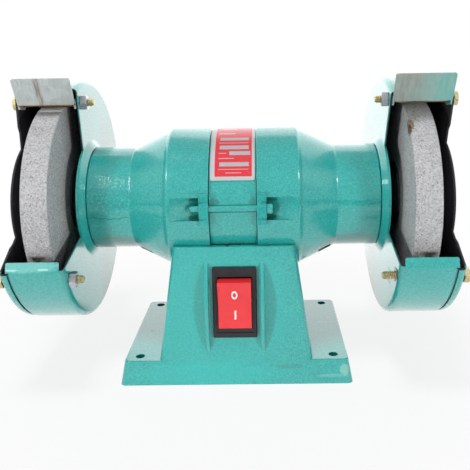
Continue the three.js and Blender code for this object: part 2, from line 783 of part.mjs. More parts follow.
function endBell() {
  const coneRadius = bellRadius - shoulderDrop;
  const coneEndRadius = neckRadius + neckBlendRise;
  const seatRadius = bearingRadius + seatGap;
  const wallFace = neckEnd - neckEndWall;
  const seatStart = wallFace - bearingWidth;
  const neckBore = neckRadius - neckWall;
  const bellBore = bellRadius - bellWall;
  let shell = solidOf(turned([
    [bellFace, bellRadius],
    [shoulderStart, bellRadius],
    [(shoulderStart + shoulderEnd) / 2 + shoulderBulge, bellRadius - shoulderDrop / 3],
    [shoulderEnd, coneRadius],
    [coneEnd, coneEndRadius],
    [(coneEnd + neckStart) / 2, neckRadius + neckBlendMiddle],
    [neckStart, neckRadius],
    [neckEnd, neckRadius],
    [neckEnd, shaftHoleRadius],
    [wallFace, shaftHoleRadius],
    [wallFace, seatRadius],
    [seatStart, seatRadius],
    [seatStart, bearingHubRadius],
    [wallFace, bearingHubRadius],
    [wallFace, neckBore],
    [neckStart, neckBore],
    [coneEnd, neckBore + neckBlendRise - neckBlendMiddle],
    [shoulderEnd, coneRadius - bellWall],
    [shoulderStart, bellBore],
    [bellFace, bellBore],
  ], bigSegments));
  const coneSlope = Math.atan((coneRadius - coneEndRadius) / coneLength);
  const ventMiddle = coneEnd - ventFromNeck;
  const ventRadius = coneEndRadius + ventFromNeck * Math.tan(coneSlope);
  for (const angle of ventAngles) {
    const slot = box(-ventLength / 2, ventLength / 2, -ventCut, ventCut, -ventWidth / 2, ventWidth / 2);
    slot.rotateZ(coneSlope);
    slot.translate(ventMiddle, -ventRadius, 0);
    shell = cut(shell, atAngle(slot, angle));
  }
  const pocketEnd = lugEnd + pocketLength;
  const wedge = new THREE.ExtrudeGeometry(polygon([
    [lugEnd, -pocketFloor],
    [lugEnd, -bellRadius - pocketMargin],
    [pocketEnd, -bellRadius - pocketMargin],
    [pocketEnd, -bellRadius],
  ]), { depth: 2 * pocketHalfWidth, bevelEnabled: false });
  wedge.translate(0, 0, -pocketHalfWidth);
  const backing = pocketFloor - pocketBacking;
  const overlap = bellRadius - bellWall / 2;
  for (const angle of tieAngles) {
    const pad = box(lugEnd, pocketEnd + 1, -overlap, -backing, -lugHalfWidth, lugHalfWidth);
    const lugRoot = box(bellFace, lugEnd, -overlap, -coreRadius - 2 * seatGap, -lugHalfWidth, lugHalfWidth);
    const lug = box(bellFace, lugEnd, -lugRadius, -overlap, -lugHalfWidth, lugHalfWidth);
    for (const extra of [pad, lugRoot, lug]) {
      shell = shell.add(solidOf(atAngle(extra, angle)));
    }
    shell = cut(shell, atAngle(wedge, angle), atAngle(tieHole(tieRadius + seatGap, lugEnd + 1), angle));
  }
  return cut(shell, ...guardScrewHoles(wallFace - 1, neckEnd + 1));
}

function tieBolt(angle) {
  const tail = -lugEnd - tieTail;
  const shank = rodX(tieRadius, tail, lugEnd + 1);
  const headStart = lugEnd + seatGap;
  const head = hexX(tieHeadAcross, headStart, headStart + tieHeadHeight);
  const bolt = joined(shank, head, rodX(tieRadius, lugEnd, headStart + 1));
  const geometry = geometryOf(bolt);
  geometry.translate(0, -tieCircle, 0);
  return atAngle(geometry, angle);
}

function statorCore() {
  const outline = new THREE.Shape();
  outline.absarc(0, 0, coreRadius, 0, 2 * Math.PI);
  const bore = new THREE.Path();
  bore.absarc(0, 0, coreBore, 0, 2 * Math.PI);
  outline.holes.push(bore);
  const ring = solidOf(alongX(outline, -coreHalfLength, coreHalfLength, journalSegments));
  const slots = [];
  for (let i = 0; i < slotCount; i += 1) {
    const slot = box(-coreHalfLength - 1, coreHalfLength + 1, -slotOuter, -slotInner, -slotWidth / 2, slotWidth / 2);
    slots.push(atAngle(slot, 360 * i / slotCount + 180 / slotCount));
  }
  return cut(ring, ...slots);
}

function winding() {
  const from = coreHalfLength + seatGap;
  const middle = (windingInner + windingOuter) / 2;
  return solidOf(turned([
    [from, windingInner],
    [from, windingOuter],
    [from + windingLength * windingShoulder, windingOuter],
    [from + windingLength, middle + windingCrown],
    [from + windingLength, middle - windingCrown],
    [from + windingLength * windingShoulder, windingInner],
  ], journalSegments));
}

addSolid(motor, 'stator_housing', statorHousing(), 'enamel');
addBothSides('end_bell', endBell(), 'enamel');
tieAngles.forEach((angle, index) => {
  addMesh(motor, `tie_bolt_${index + 1}`, tieBolt(angle), 'enamel');
});
addSolid(motor, 'stator_core', statorCore(), 'lamination');
addBothSides('winding', winding(), 'copper');

function motorBolt() {
  const headTop = -motorBoltSeat - faceGap;
  const head = hexZ(motorBoltAcross, headTop - motorBoltHead, headTop);
  const shank = rodZ(motorBoltRadius, headTop - 1, -motorBoltTip);
  return joined(head, shank);
}

[-motorBoltY, motorBoltY].forEach((y, index) => {
  const bolt = addSolid(motor, `motor_bolt_${index + 1}`, motorBolt(), 'plated');
  bolt.position.y = y;
});

function nameplate() {
  const inner = bandRadius + seatGap;
  const outer = inner + plateThickness;
  const shape = new THREE.Shape();
  shape.absarc(0, 0, outer, Math.PI - rad(plateTo), Math.PI - rad(plateFrom));
  shape.absarc(0, 0, inner, Math.PI - rad(plateFrom), Math.PI - rad(plateTo), true);
  return solidOf(alongX(shape, -plateHalfLength, plateHalfLength, midSegments));
}

addSolid(motor, 'nameplate', nameplate(), 'plateRed');

// ---- Rotor ----

const flangeSeat = wheelInnerFace - faceGap - innerFlangeLength;
const wheelOuterFace = wheelInnerFace + wheelThickness;
const nutStart = wheelOuterFace + faceGap + outerFlangeLength + faceGap;
const shaftEnd = nutStart + arborNutHeight + arborTail;
const bearingEnd = neckEnd - neckEndWall - faceGap;
const bearingStart = bearingEnd - bearingWidth + 2 * faceGap;

function rotorShaft() {
  const half = [
    [rotorHalfLength + shaftCoreOverhang, shaftCoreRadius],
    [rotorHalfLength + shaftCoreOverhang, shaftRadius],
    [bearingStart - faceGap, shaftRadius],
    [bearingStart - faceGap, journalRadius],
    [flangeSeat - faceGap, journalRadius],
    [flangeSeat - faceGap, arborRadius],
    [shaftEnd - 1, arborRadius],
    [shaftEnd, arborRadius - 1],
    [shaftEnd, 0],
  ];
  const mirror = half.map(([along, radius]) => [-along, radius]).reverse();
  return solidOf(turned([...mirror, ...half], journalSegments));
}

function rotorCore() {
  const bore = shaftCoreRadius + runningGap;
  const half = [
    [rotorHalfLength, rotorRadius],
    [rotorHalfLength, cageRingOuter],
    [rotorHalfLength + cageRingLength, cageRingOuter],
    [rotorHalfLength + cageRingLength, cageRingInner],
    [rotorHalfLength, cageRingInner],
    [rotorHalfLength, bore],
  ];
  const mirror = half.map(([along, radius]) => [-along, radius]).reverse();
  return solidOf(turned([...mirror, ...half], journalSegments));
}

function bearing() {
  const bore = journalRadius + runningGap;
  return solidOf(turned([
    [bearingStart, bore],
    [bearingStart, bearingRadius],
    [bearingEnd, bearingRadius],
    [bearingEnd, bore],
  ], journalSegments));
}

// Flange drawn from its wheel side (0) outwards, then placed on the inner or the outer side.
function wheelFlange(length, wheelFace, direction) {
  const bore = arborRadius + runningGap;
  const outline = [
    [flangeRecess, bore],
    [flangeRecess, flangeRadius - flangeContactWidth],
    [0, flangeRadius - flangeContactWidth],
    [0, flangeRadius],
    [flangeRimThickness, flangeRadius],
    [length - 1, flangeHubRadius + 4],
    [length, flangeHubRadius],
    [length, bore],
  ];
  return solidOf(turned(outline.map(([away, radius]) => [wheelFace + direction * away, radius]), journalSegments));
}

function grindingWheel() {
  const bore = arborRadius + runningGap;
  return solidOf(turned([
    [wheelInnerFace, bore],
    [wheelInnerFace, wheelRadius - wheelChamfer],
    [wheelInnerFace + wheelChamfer, wheelRadius],
    [wheelOuterFace - wheelChamfer, wheelRadius],
    [wheelOuterFace, wheelRadius - wheelChamfer],
    [wheelOuterFace, bore],
  ], bigSegments));
}

function arborNut() {
  const body = solidOf(hexX(arborNutAcross, nutStart, nutStart + arborNutHeight));
  return cut(body, rodX(arborRadius + runningGap, nutStart - 1, shaftEnd, journalSegments));
}

addSolid(motor, 'rotor_shaft', rotorShaft(), 'steel');
addSolid(motor, 'rotor_core', rotorCore(), 'lamination');
addBothSides('bearing', bearing(), 'steel');
addBothSides('inner_flange', wheelFlange(innerFlangeLength, wheelInnerFace - faceGap, -1), 'darkIron');
addBothSides('outer_flange', wheelFlange(outerFlangeLength, wheelOuterFace + faceGap, 1), 'darkIron');
addBothSides('grinding_wheel', grindingWheel(), 'grit');
addBothSides('arbor_nut', arborNut(), 'plated');

// ---- Guards ----

const drumBore = guardRadius - sheet;

// Space in front of the wheel where the work comes in. Its inner end is an arc about a middle on the shaft's
// level, and its two straight edges run from the ends of the arc to the rim and beyond.
function mouth(side, arc) {
  const reach = 1.6 * guardRadius;
  const arcEnd = (angle) => {
    const place = spoke(angle, arc.radius);
    return { y: place.y - arc.forward, z: place.z };
  };
  const hubTop = arcEnd(arc.topAngle);
  const hubLow = arcEnd(arc.lowAngle);
  const rim = spoke(mouthRimAngle[side], guardRadius);
  const stretch = reach / (rim.z - hubTop.z);
  const topY = hubTop.y + (rim.y - hubTop.y) * stretch;
  const topZ = hubTop.z + reach;
  const lowZ = hubLow.z - (reach + hubLow.y) * Math.tan(rad(arc.lowerSlope));
  const shape = new THREE.Shape();
  shape.moveTo(topY, topZ);
  shape.lineTo(-reach, topZ);
  shape.lineTo(-reach, lowZ);
  shape.absarc(-arc.forward, 0, arc.radius, Math.PI - rad(arc.lowAngle), Math.PI - rad(arc.topAngle), true);
  return alongX(shape, panHoleRadius, 2 * guardOuterFace, midSegments);
}

const panArc = {
  forward: 0,
  radius: mouthHubRadius,
  topAngle: mouthHubTopAngle,
  lowAngle: mouthHubAngle,
  lowerSlope: mouthLowerSlope,
};
const coverArc = {
  forward: coverArcForward,
  radius: coverArcRadius,
  topAngle: coverArcTopAngle,
  lowAngle: coverArcLowAngle,
  lowerSlope: coverLowerSlope,
};

function boltHoles(side, fromX, toX) {
  return guardBolts(side).map(({ circle, angle }) => {
    const place = spoke(angle, circle);
    return rodX(guardBoltRadius + seatGap, fromX, toX).translate(0, place.y, place.z);
  });
}

// Strip along the lower edge of the mouth, bent back towards the wheel.
function lip() {
  const hubCorner = spoke(mouthHubAngle, mouthHubRadius);
  const slope = Math.tan(rad(mouthLowerSlope));
  const crossing = hubCorner.z - hubCorner.y * slope;
  const steepness = 1 + slope ** 2;
  const edgeY = -(crossing * slope + Math.sqrt(guardRadius ** 2 * steepness - crossing ** 2)) / steepness;
  const edgeZ = crossing + edgeY * slope;
  const riseY = Math.sin(rad(lipLean));
  const riseZ = Math.cos(rad(lipLean));
  const outline = polygon([
    [edgeY - riseY, edgeZ - riseZ],
    [edgeY + sheet * riseZ - riseY, edgeZ - sheet * riseY - riseZ],
    [edgeY + sheet * riseZ + lipHeight * riseY, edgeZ - sheet * riseY + lipHeight * riseZ],
    [edgeY + lipHeight * riseY, edgeZ + lipHeight * riseZ],
  ]);
  return alongX(outline, guardInnerFace + lipInset, drumEnd + lipOverhang);
}

function guardPan(side) {
  const bossBack = neckEnd + seatGap;
  const centre = guardInnerFace + guardCorner;
  const blank = solidOf(turned([
    [bossBack, panHoleRadius],
    [bossBack, panBossFaceRadius],
    [guardInnerFace, panBossRadius],
    ...quarterTurn(centre, guardRadius - guardCorner, guardCorner, 180, 90),
    [drumEnd, guardRadius],
    [drumEnd, drumBore],
    ...quarterTurn(centre, guardRadius - guardCorner, guardCorner - sheet, 90, 180),
    [guardInnerFace + sheet, panBossRadius],
    [bossBack + sheet, panBossFaceRadius],
    [bossBack + sheet, panHoleRadius],
  ], bigSegments));
  const screwHoles = guardScrewHoles(neckEnd, guardInnerFace + sheet);
  const pan = cut(blank, mouth(side, panArc), ...boltHoles(side, neckEnd, wheelInnerFace), ...screwHoles);
  return pan.add(solidOf(lip()));
}

function guardCover(side) {
  const centre = guardOuterFace - guardCorner;
  const spigotRadius = drumBore - seatGap;
  const spigotStart = drumEnd - spigotLength;
  const step = rimStart + sheet;
  const blank = solidOf(turned([
    [guardOuterFace, 0],
    ...quarterTurn(centre, rimRadius - guardCorner, guardCorner, 0, 90),
    [rimStart, rimRadius],
    [rimStart, spigotRadius],
    [spigotStart, spigotRadius],
    [spigotStart, spigotRadius - sheet],
    [step, spigotRadius - sheet],
    ...quarterTurn(centre, rimRadius - guardCorner, guardCorner - sheet, 90, 0),
    [guardOuterFace - sheet, 0],
  ], bigSegments));
  return cut(blank, mouth(side, coverArc), ...boltHoles(side, wheelOuterFace, guardOuterFace + 1));
}

function guardScrew() {
  const underHead = neckEnd + seatGap + sheet + faceGap;
  const head = rodX(guardScrewHeadRadius, underHead, underHead + guardScrewHead);
  return joined(head, rodX(guardScrewRadius, neckEnd - guardScrewReach, underHead + 1));
}

function guardBolt() {
  const headFace = guardOuterFace + faceGap;
  const tail = guardInnerFace - faceGap - guardNutHeight - guardBoltTail;
  const head = hexX(guardBoltAcross, headFace, headFace + guardBoltHead);
  return joined(head, rodX(guardBoltRadius, tail, headFace + 1));
}

function guardNut() {
  const face = guardInnerFace - faceGap;
  const body = solidOf(hexX(guardBoltAcross, face - guardNutHeight, face));
  return cut(body, rodX(guardBoltRadius + runningGap, face - guardNutHeight - 1, face + 1));
}

function placeOnSide(side, name, solid, finish, place) {
  const right = geometryOf(solid);
  const mesh = addMesh(motor, `${side}_${name}`, side === 'right' ? right : mirroredX(right), finish);
  mesh.position.set(0, place.y, place.z);
}

addEachSide('guard_pan', guardPan, 'enamel');
addEachSide('guard_cover', guardCover, 'enamel');
for (const side of ['right', 'left']) {
  guardScrewAngles.forEach((angle, index) => {
    placeOnSide(side, `guard_screw_${index + 1}`, guardScrew(), 'plated', spoke(angle, guardScrewCircle));
  });
  for (const { place, circle, angle } of guardBolts(side)) {
    placeOnSide(side, `${place}_guard_bolt`, guardBolt(), 'plated', spoke(angle, circle));
    placeOnSide(side, `${place}_guard_nut`, guardNut(), 'plated', spoke(angle, circle));
  }
}

// ---- Spark deflectors ----

// Drawn with "out" along the plate and "forward" square to it.
function deflector(side) {
  const pivot = guardBolts(side)[0];
  const lag = rad(pivot.angle - deflectorAngle);
  const eyeOut = pivot.circle * Math.cos(lag);
  const eyeForward = -pivot.circle * Math.sin(lag);
  const back = eyeForward + deflectorAhead;
  const front = back + deflectorThickness;
  const plateInner = eyeOut + deflectorRoot;
  const plateOuter = plateInner + deflectorLength;
  const innerEar = guardInnerFace + sheet + seatGap;
  const outerEar = guardOuterFace - sheet - seatGap;
  const plate = alongX(polygon([
    [plateInner, back],
    [plateOuter, back],
    [plateOuter, front],
    [plateInner, front],
  ]), innerEar, outerEar);
  const earShape = new THREE.Shape();
  earShape.moveTo(plateInner + earGrip, front);
  earShape.lineTo(plateInner - earWeb, front);
  earShape.absarc(eyeOut, eyeForward, earEyeRadius, rad(160), rad(340));
  const ears = [
    alongX(earShape, innerEar, innerEar + deflectorThickness, smallSegments),
    alongX(earShape, outerEar - deflectorThickness, outerEar, smallSegments),
  ];
  const eye = rodX(guardBoltRadius + seatGap, guardInnerFace, guardOuterFace).translate(0, eyeOut, eyeForward);
  const turnedUp = geometryOf(cut(joined(plate, ...ears), eye));
  const out = spoke(deflectorAngle, 1);
  const forward = spoke(deflectorAngle - 90, 1);
  const basis = new THREE.Matrix4().makeBasis(
    new THREE.Vector3(1, 0, 0),
    new THREE.Vector3(0, out.y, out.z),
    new THREE.Vector3(0, forward.y, forward.z),
  );
  turnedUp.applyMatrix4(basis);
  return turnedUp;
}

addMesh(motor, 'right_spark_deflector', deflector('right'), 'rawSheet');
addMesh(motor, 'left_spark_deflector', mirroredX(deflector('left')), 'rawSheet');

const outerBox = new THREE.Box3().setFromObject(grinder);
grinder.position.y = -(outerBox.min.y + outerBox.max.y) / 2;

export default grinder;
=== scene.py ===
import json
from math import asin, atan2, cos, degrees, pi, radians, sin, sqrt, tan

import bmesh
import bpy
from mathutils import Matrix, Vector

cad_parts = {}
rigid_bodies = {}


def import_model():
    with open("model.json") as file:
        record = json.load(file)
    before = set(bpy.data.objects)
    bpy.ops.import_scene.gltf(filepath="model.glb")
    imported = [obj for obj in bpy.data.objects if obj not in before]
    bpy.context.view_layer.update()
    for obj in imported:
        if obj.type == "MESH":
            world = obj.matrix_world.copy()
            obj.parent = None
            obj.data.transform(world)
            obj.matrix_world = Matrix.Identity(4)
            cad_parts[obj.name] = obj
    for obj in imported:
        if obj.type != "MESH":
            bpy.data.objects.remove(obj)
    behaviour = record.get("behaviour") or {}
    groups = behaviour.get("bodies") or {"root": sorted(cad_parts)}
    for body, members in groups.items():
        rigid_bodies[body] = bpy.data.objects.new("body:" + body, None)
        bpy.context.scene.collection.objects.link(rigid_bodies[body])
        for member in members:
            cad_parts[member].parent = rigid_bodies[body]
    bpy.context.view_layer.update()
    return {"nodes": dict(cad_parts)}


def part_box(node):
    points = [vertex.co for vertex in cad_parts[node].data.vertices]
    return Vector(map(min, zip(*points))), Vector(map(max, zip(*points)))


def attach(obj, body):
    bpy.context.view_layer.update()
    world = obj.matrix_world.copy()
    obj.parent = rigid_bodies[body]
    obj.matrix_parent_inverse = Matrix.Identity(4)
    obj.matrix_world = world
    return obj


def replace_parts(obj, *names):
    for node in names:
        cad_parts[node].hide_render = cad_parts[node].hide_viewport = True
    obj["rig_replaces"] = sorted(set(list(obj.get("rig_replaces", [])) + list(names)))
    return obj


bpy.ops.object.select_all(action="SELECT")
bpy.ops.object.delete()

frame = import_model()
mm = 0.001

# Places that the frame gives: the shaft line, the wheels, the guards and the motor.
wheelLow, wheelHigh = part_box("right_grinding_wheel")
panLow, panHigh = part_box("right_guard_pan")
coverLow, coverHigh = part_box("right_guard_cover")
bellLow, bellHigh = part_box("right_end_bell")
bandLow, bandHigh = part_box("stator_housing")
baseLow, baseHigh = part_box("base_pedestal")
bezelLow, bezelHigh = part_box("switch_body")
plateLow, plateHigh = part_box("nameplate")
shaftLow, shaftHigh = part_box("rotor_shaft")

shaftY = (wheelLow.y + wheelHigh.y) / 2
shaftZ = (wheelLow.z + wheelHigh.z) / 2
wheelRadius = (wheelHigh.z - wheelLow.z) / 2
guardRadius = panHigh.y - shaftY
bellRadius = bellHigh.z - shaftZ
bandRadius = bandHigh.z - shaftZ


# ---- Modelling helpers ----

def deselectAll():
    if bpy.context.mode != "OBJECT":
        bpy.ops.object.mode_set(mode="OBJECT")
    bpy.ops.object.select_all(action="DESELECT")


def pickOnly(piece):
    deselectAll()
    piece.select_set(True)
    bpy.context.view_layer.objects.active = piece


def editAll(piece):
    pickOnly(piece)
    bpy.ops.object.mode_set(mode="EDIT")
    bpy.ops.mesh.select_all(action="SELECT")


def settle(piece):  # back to object mode, with the place in the mesh
    pickOnly(piece)
    bpy.ops.object.transform_apply(location=True, rotation=True, scale=True)
    return piece


def cleaned(piece):
    editAll(piece)
    bpy.ops.mesh.remove_doubles(threshold=0.002 * mm)
    bpy.ops.mesh.normals_make_consistent(inside=False)
    return settle(piece)


def outlineFrom(name, points):  # a chain of edges through the points
    deselectAll()
    bpy.ops.mesh.primitive_plane_add(size=mm, location=points[0])
    piece = bpy.context.object
    piece.name = name
    bpy.ops.object.mode_set(mode="EDIT")
    bpy.ops.mesh.select_all(action="SELECT")
    bpy.ops.mesh.merge(type="CENTER")
    for here, there in zip(points, points[1:]):
        step = Vector(there) - Vector(here)
        bpy.ops.mesh.extrude_region_move(TRANSFORM_OT_translate={"value": step})
    return piece


def spun(name, outline, steps=96, sweep=2 * pi, start=0.0, centre=None):
    """outline holds (along X, radius) in metres, turned about the shaft line or a line beside it."""
    middle = Vector(centre) if centre else Vector((0, shaftY, shaftZ))
    turn = Vector((0, -cos(start), sin(start)))
    points = [middle + Vector((along, 0, 0)) + turn * radius for along, radius in outline]
    closes = outline[0][1] > 1e-7 and sweep > 6.2
    chain = points + points[:1] if closes or sweep < 6.2 else points
    piece = outlineFrom(name, chain)
    bpy.ops.mesh.select_all(action="SELECT")
    if sweep < 6.2:
        bpy.ops.mesh.remove_doubles(threshold=0.002 * mm)
        bpy.ops.mesh.select_all(action="SELECT")
        bpy.ops.mesh.edge_face_add()
    bpy.ops.mesh.spin(steps=steps, angle=sweep, center=middle, axis=(1, 0, 0))
    return cleaned(piece)


def prism(name, outline, fromX, toX):  # outline of (y, z) in metres, drawn out along X
    piece = outlineFrom(name, [(fromX, y, z) for y, z in outline])
    bpy.ops.mesh.select_all(action="SELECT")
    bpy.ops.mesh.edge_face_add()
    bpy.ops.mesh.extrude_region_move(TRANSFORM_OT_translate={"value": (toX - fromX, 0, 0)})
    return cleaned(piece)


def block(name, low, high, edge=0.0, segments=3, upright=False):
    deselectAll()
    low, high = Vector(low), Vector(high)
    bpy.ops.mesh.primitive_cube_add(size=1, location=(low + high) / 2, scale=high - low)
    piece = bpy.context.object
    piece.name = name
    settle(piece)
    if edge:
        roundEdges(piece, edge, segments, upright)
    return piece


def roundEdges(piece, edge, segments, upright=False):
    editAll(piece)
    if upright:
        selectEdges(piece, lambda a, b: abs(a.z - b.z) > 0.8 * (a - b).length)
    bpy.ops.mesh.bevel(offset=edge, segments=segments, affect="EDGES")
    settle(piece)


def selectEdges(piece, wanted):
    bpy.ops.mesh.select_all(action="DESELECT")
    shape = bmesh.from_edit_mesh(piece.data)
    for edge in shape.edges:
        if wanted(edge.verts[0].co, edge.verts[1].co):
            edge.select_set(True)
    bmesh.update_edit_mesh(piece.data)


def selectVertices(piece, wanted):
    bpy.ops.mesh.select_all(action="DESELECT")
    shape = bmesh.from_edit_mesh(piece.data)
    for corner in shape.verts:
        if wanted(corner.co):
            corner.select_set(True)
    shape.select_flush_mode()
    bmesh.update_edit_mesh(piece.data)


def rod(name, radius, place, length, along="X", sides=48):
    deselectAll()
    turn = {"X": (0, pi / 2, 0), "Y": (pi / 2, 0, 0), "Z": (0, 0, 0)}[along]
    bpy.ops.mesh.primitive_cylinder_add(vertices=sides, radius=radius, depth=length, location=place, rotation=turn)
    bpy.context.object.name = name
    return settle(bpy.context.object)


def useModifier(piece, kind, **values):
    pickOnly(piece)
    modifier = piece.modifiers.new(kind.lower(), kind)
    for field, value in values.items():
        setattr(modifier, field, value)
    bpy.ops.object.modifier_apply(modifier=modifier.name)
    return piece


def combine(piece, operation, *tools):
    for tool in tools:
        useModifier(piece, "BOOLEAN", operation=operation, object=tool, solver="EXACT")
        bpy.data.objects.remove(tool)
    return piece


def cut(piece, *tools):
    return combine(piece, "DIFFERENCE", *tools)


def joined(piece, *others):
    return combine(piece, "UNION", *others)


def turnedAbout(piece, angle, centre, axis="X"):
    """Turns the mesh about a line through centre; a positive angle lifts the front about X."""
    editAll(piece)
    bpy.ops.transform.rotate(value=angle, orient_axis=axis, center_override=centre)
    return settle(piece)


def moved(piece, step):
    editAll(piece)
    bpy.ops.transform.translate(value=step)
    return settle(piece)


def copyOf(piece, name):
    pickOnly(piece)
    bpy.ops.object.duplicate()
    twin = bpy.context.object
    twin.name = name
    return twin


def turnedOver(piece):
    editAll(piece)
    bpy.ops.transform.resize(value=(-1, 1, 1), center_override=(0, 0, 0))
    bpy.ops.mesh.normals_make_consistent(inside=False)
    return settle(piece)


def onSide(piece, side):  # every piece of a pair is drawn on the right
    if side == "left":
        turnedOver(piece)
        piece.name = "left" + piece.name[5:]
    return piece


def softEdges(piece, width, angle=35, segments=2):
    return useModifier(piece, "BEVEL", width=width, segments=segments, limit_method="ANGLE",
                       angle_limit=radians(angle), use_clamp_overlap=True, miter_outer="MITER_ARC",
                       harden_normals=False)


def finished(piece, body, material, nodes=(), smooth=32):
    pickOnly(piece)
    bpy.ops.object.shade_smooth_by_angle(angle=radians(smooth))
    useModifier(piece, "WEIGHTED_NORMAL", keep_sharp=True, weight=50)
    piece.data.name = piece.name
    piece.data.materials.clear()
    piece.data.materials.append(material)
    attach(piece, body)
    if nodes:
        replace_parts(piece, *nodes)
    return piece


def filleted(corners, steps=6):
    """corners holds (along, radius, fillet); each corner with a fillet becomes an arc."""
    points = []
    count = len(corners)
    for index, (along, radius, fillet) in enumerate(corners):
        here = Vector((along, radius))
        if not fillet:
            points.append((along, radius))
            continue
        before = (Vector(corners[index - 1][:2]) - here).normalized()
        after = (Vector(corners[(index + 1) % count][:2]) - here).normalized()
        half = before.angle(after) / 2
        reach = fillet / tan(half)
        middle = here + (before + after).normalized() * (fillet / sin(half))
        first, last = here + before * reach - middle, here + after * reach - middle
        sweep = first.angle_signed(last)
        for step in range(steps + 1):
            share = -sweep * step / steps
            point = middle + Vector((first.x * cos(share) - first.y * sin(share),
                                     first.x * sin(share) + first.y * cos(share)))
            points.append((point.x, point.y))
    return points


def spoke(angle, radius):  # a place in the Y-Z plane, with the angle counted upwards from the front
    return Vector((0, shaftY - cos(radians(angle)) * radius, shaftZ + sin(radians(angle)) * radius))


def bothSides(piece, body, names):  # the left twin of a right-hand piece, with the CAD nodes it stands for
    left = turnedOver(copyOf(piece, "left" + piece.name[5:]))
    left["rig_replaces"] = []
    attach(left, body)
    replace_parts(left, *names)
    return left


def repaint(piece, material):
    piece.data.materials.clear()
    piece.data.materials.append(material)


print("helpers ready")


# ---- Material helpers ----

def addNode(tree, kind, inputs=None, **fields):
    made = tree.nodes.new(kind)
    for field, value in fields.items():
        setattr(made, field, value)
    for socket, value in (inputs or {}).items():
        if isinstance(value, bpy.types.NodeSocket):
            tree.links.new(value, made.inputs[socket])
        else:
            made.inputs[socket].default_value = value
    return made


def newFinish(name, surface):
    material = bpy.data.materials.new(name)
    material.use_nodes = True
    tree = material.node_tree
    shader = tree.nodes["Principled BSDF"]
    for socket, value in surface.items():
        shader.inputs[socket].default_value = value
    place = addNode(tree, "ShaderNodeTexCoord").outputs["Object"]
    return material, tree, shader, place


def lumps(tree, place, size, detail=2.0, stretch=(1, 1, 1)):  # noise with lumps of that size in metres
    sized = addNode(tree, "ShaderNodeVectorMath", {0: place, 1: stretch}, operation="MULTIPLY").outputs[0]
    return addNode(tree, "ShaderNodeTexNoise", {"Vector": sized, "Scale": 1 / size, "Detail": detail}).outputs[0]


def ramp(tree, value, low, high, atLow=0.0, atHigh=1.0):
    made = addNode(tree, "ShaderNodeMapRange", {0: value, 1: low, 2: high, 3: atLow, 4: atHigh},
                   interpolation_type="SMOOTHSTEP")
    return made.outputs[0]


def sums(tree, operation, first, second=0.5, third=0.5):
    return addNode(tree, "ShaderNodeMath", {0: first, 1: second, 2: third}, operation=operation).outputs[0]


def opaque(colour):
    return tuple(colour) + (1.0,) if isinstance(colour, (tuple, list)) and len(colour) == 3 else colour


def blend(tree, share, first, second, kind="MIX"):
    made = addNode(tree, "ShaderNodeMix", {0: share, 6: opaque(first), 7: opaque(second)},
                   data_type="RGBA", blend_type=kind)
    return made.outputs[2]


def patch(tree, place, centre, reach, ragged=0.5, grain=3 * mm):
    """1 inside a ragged-edged ellipsoid about centre, in metres, and 0 outside."""
    away = addNode(tree, "ShaderNodeVectorMath", {0: place, 1: centre}, operation="SUBTRACT").outputs[0]
    sized = addNode(tree, "ShaderNodeVectorMath", {0: away, 1: reach}, operation="DIVIDE").outputs[0]
    far = addNode(tree, "ShaderNodeVectorMath", {0: sized}, operation="LENGTH").outputs["Value"]
    rough = sums(tree, "MULTIPLY_ADD", lumps(tree, place, grain, 3), ragged, far)
    return ramp(tree, rough, 0.6 + ragged / 2, 1.0 + ragged / 2, 1.0, 0.0)


def giveRelief(tree, shader, height, depth, strength=1.0, under=None):
    inputs = {"Height": height, "Distance": depth, "Strength": strength}
    if under:
        inputs["Normal"] = under
    bump = addNode(tree, "ShaderNodeBump", inputs).outputs[0]
    tree.links.new(bump, shader.inputs["Normal"])
    return bump


# ---- Finishes ----

enamelLook = {
    "colour": (0.022, 0.352, 0.325), "deep": (0.010, 0.270, 0.250), "pale": (0.065, 0.43, 0.40),
    "speck": 1.2 * mm, "mottle": 18 * mm, "peel": 2.4 * mm, "peelDepth": 0.08 * mm, "bare": (0.030, 0.030, 0.034),
}


def insideGuard(tree, place, side, low, high, bareEdge=False):
    """1 on faces that look into a guard between those two places along the shaft, and 0 elsewhere."""
    parts = addNode(tree, "ShaderNodeSeparateXYZ", {0: place})
    along = sums(tree, "MULTIPLY", parts.outputs[0], float(side))
    level = addNode(tree, "ShaderNodeCombineXYZ", {0: 0.0, 1: parts.outputs[1], 2: parts.outputs[2]}).outputs[0]
    away = addNode(tree, "ShaderNodeVectorMath", {0: level, 1: (0, shaftY, shaftZ)}, operation="SUBTRACT").outputs[0]
    far = addNode(tree, "ShaderNodeVectorMath", {0: away}, operation="LENGTH").outputs["Value"]
    facing = addNode(tree, "ShaderNodeTexCoord").outputs["Normal"]
    spread = addNode(tree, "ShaderNodeVectorMath", {0: facing, 1: away}, operation="DOT_PRODUCT").outputs["Value"]
    inward = ramp(tree, sums(tree, "DIVIDE", spread, far), 0.35, 0.45, 1.0, 0.0)
    edge = 0.05 * mm
    between = sums(tree, "MULTIPLY", ramp(tree, along, low - edge, low + edge), ramp(tree, along, high - edge, high + edge, 1.0, 0.0))
    within = ramp(tree, far, guardRadius - 0.8 * mm, guardRadius - 0.7 * mm, 1.0, 0.0)
    hidden = sums(tree, "MULTIPLY", sums(tree, "MULTIPLY", between, within), inward)
    if bareEdge:
        lying = sums(tree, "ABSOLUTE", addNode(tree, "ShaderNodeSeparateXYZ", {0: facing}).outputs[0])
        cutFace = sums(tree, "MULTIPLY", ramp(tree, lying, 0.8, 0.9, 1.0, 0.0), ramp(tree, far, guardRadius - 5 * mm, guardRadius - 4.5 * mm, 1.0, 0.0))
        hidden = sums(tree, "MAXIMUM", hidden, cutFace)
    return hidden


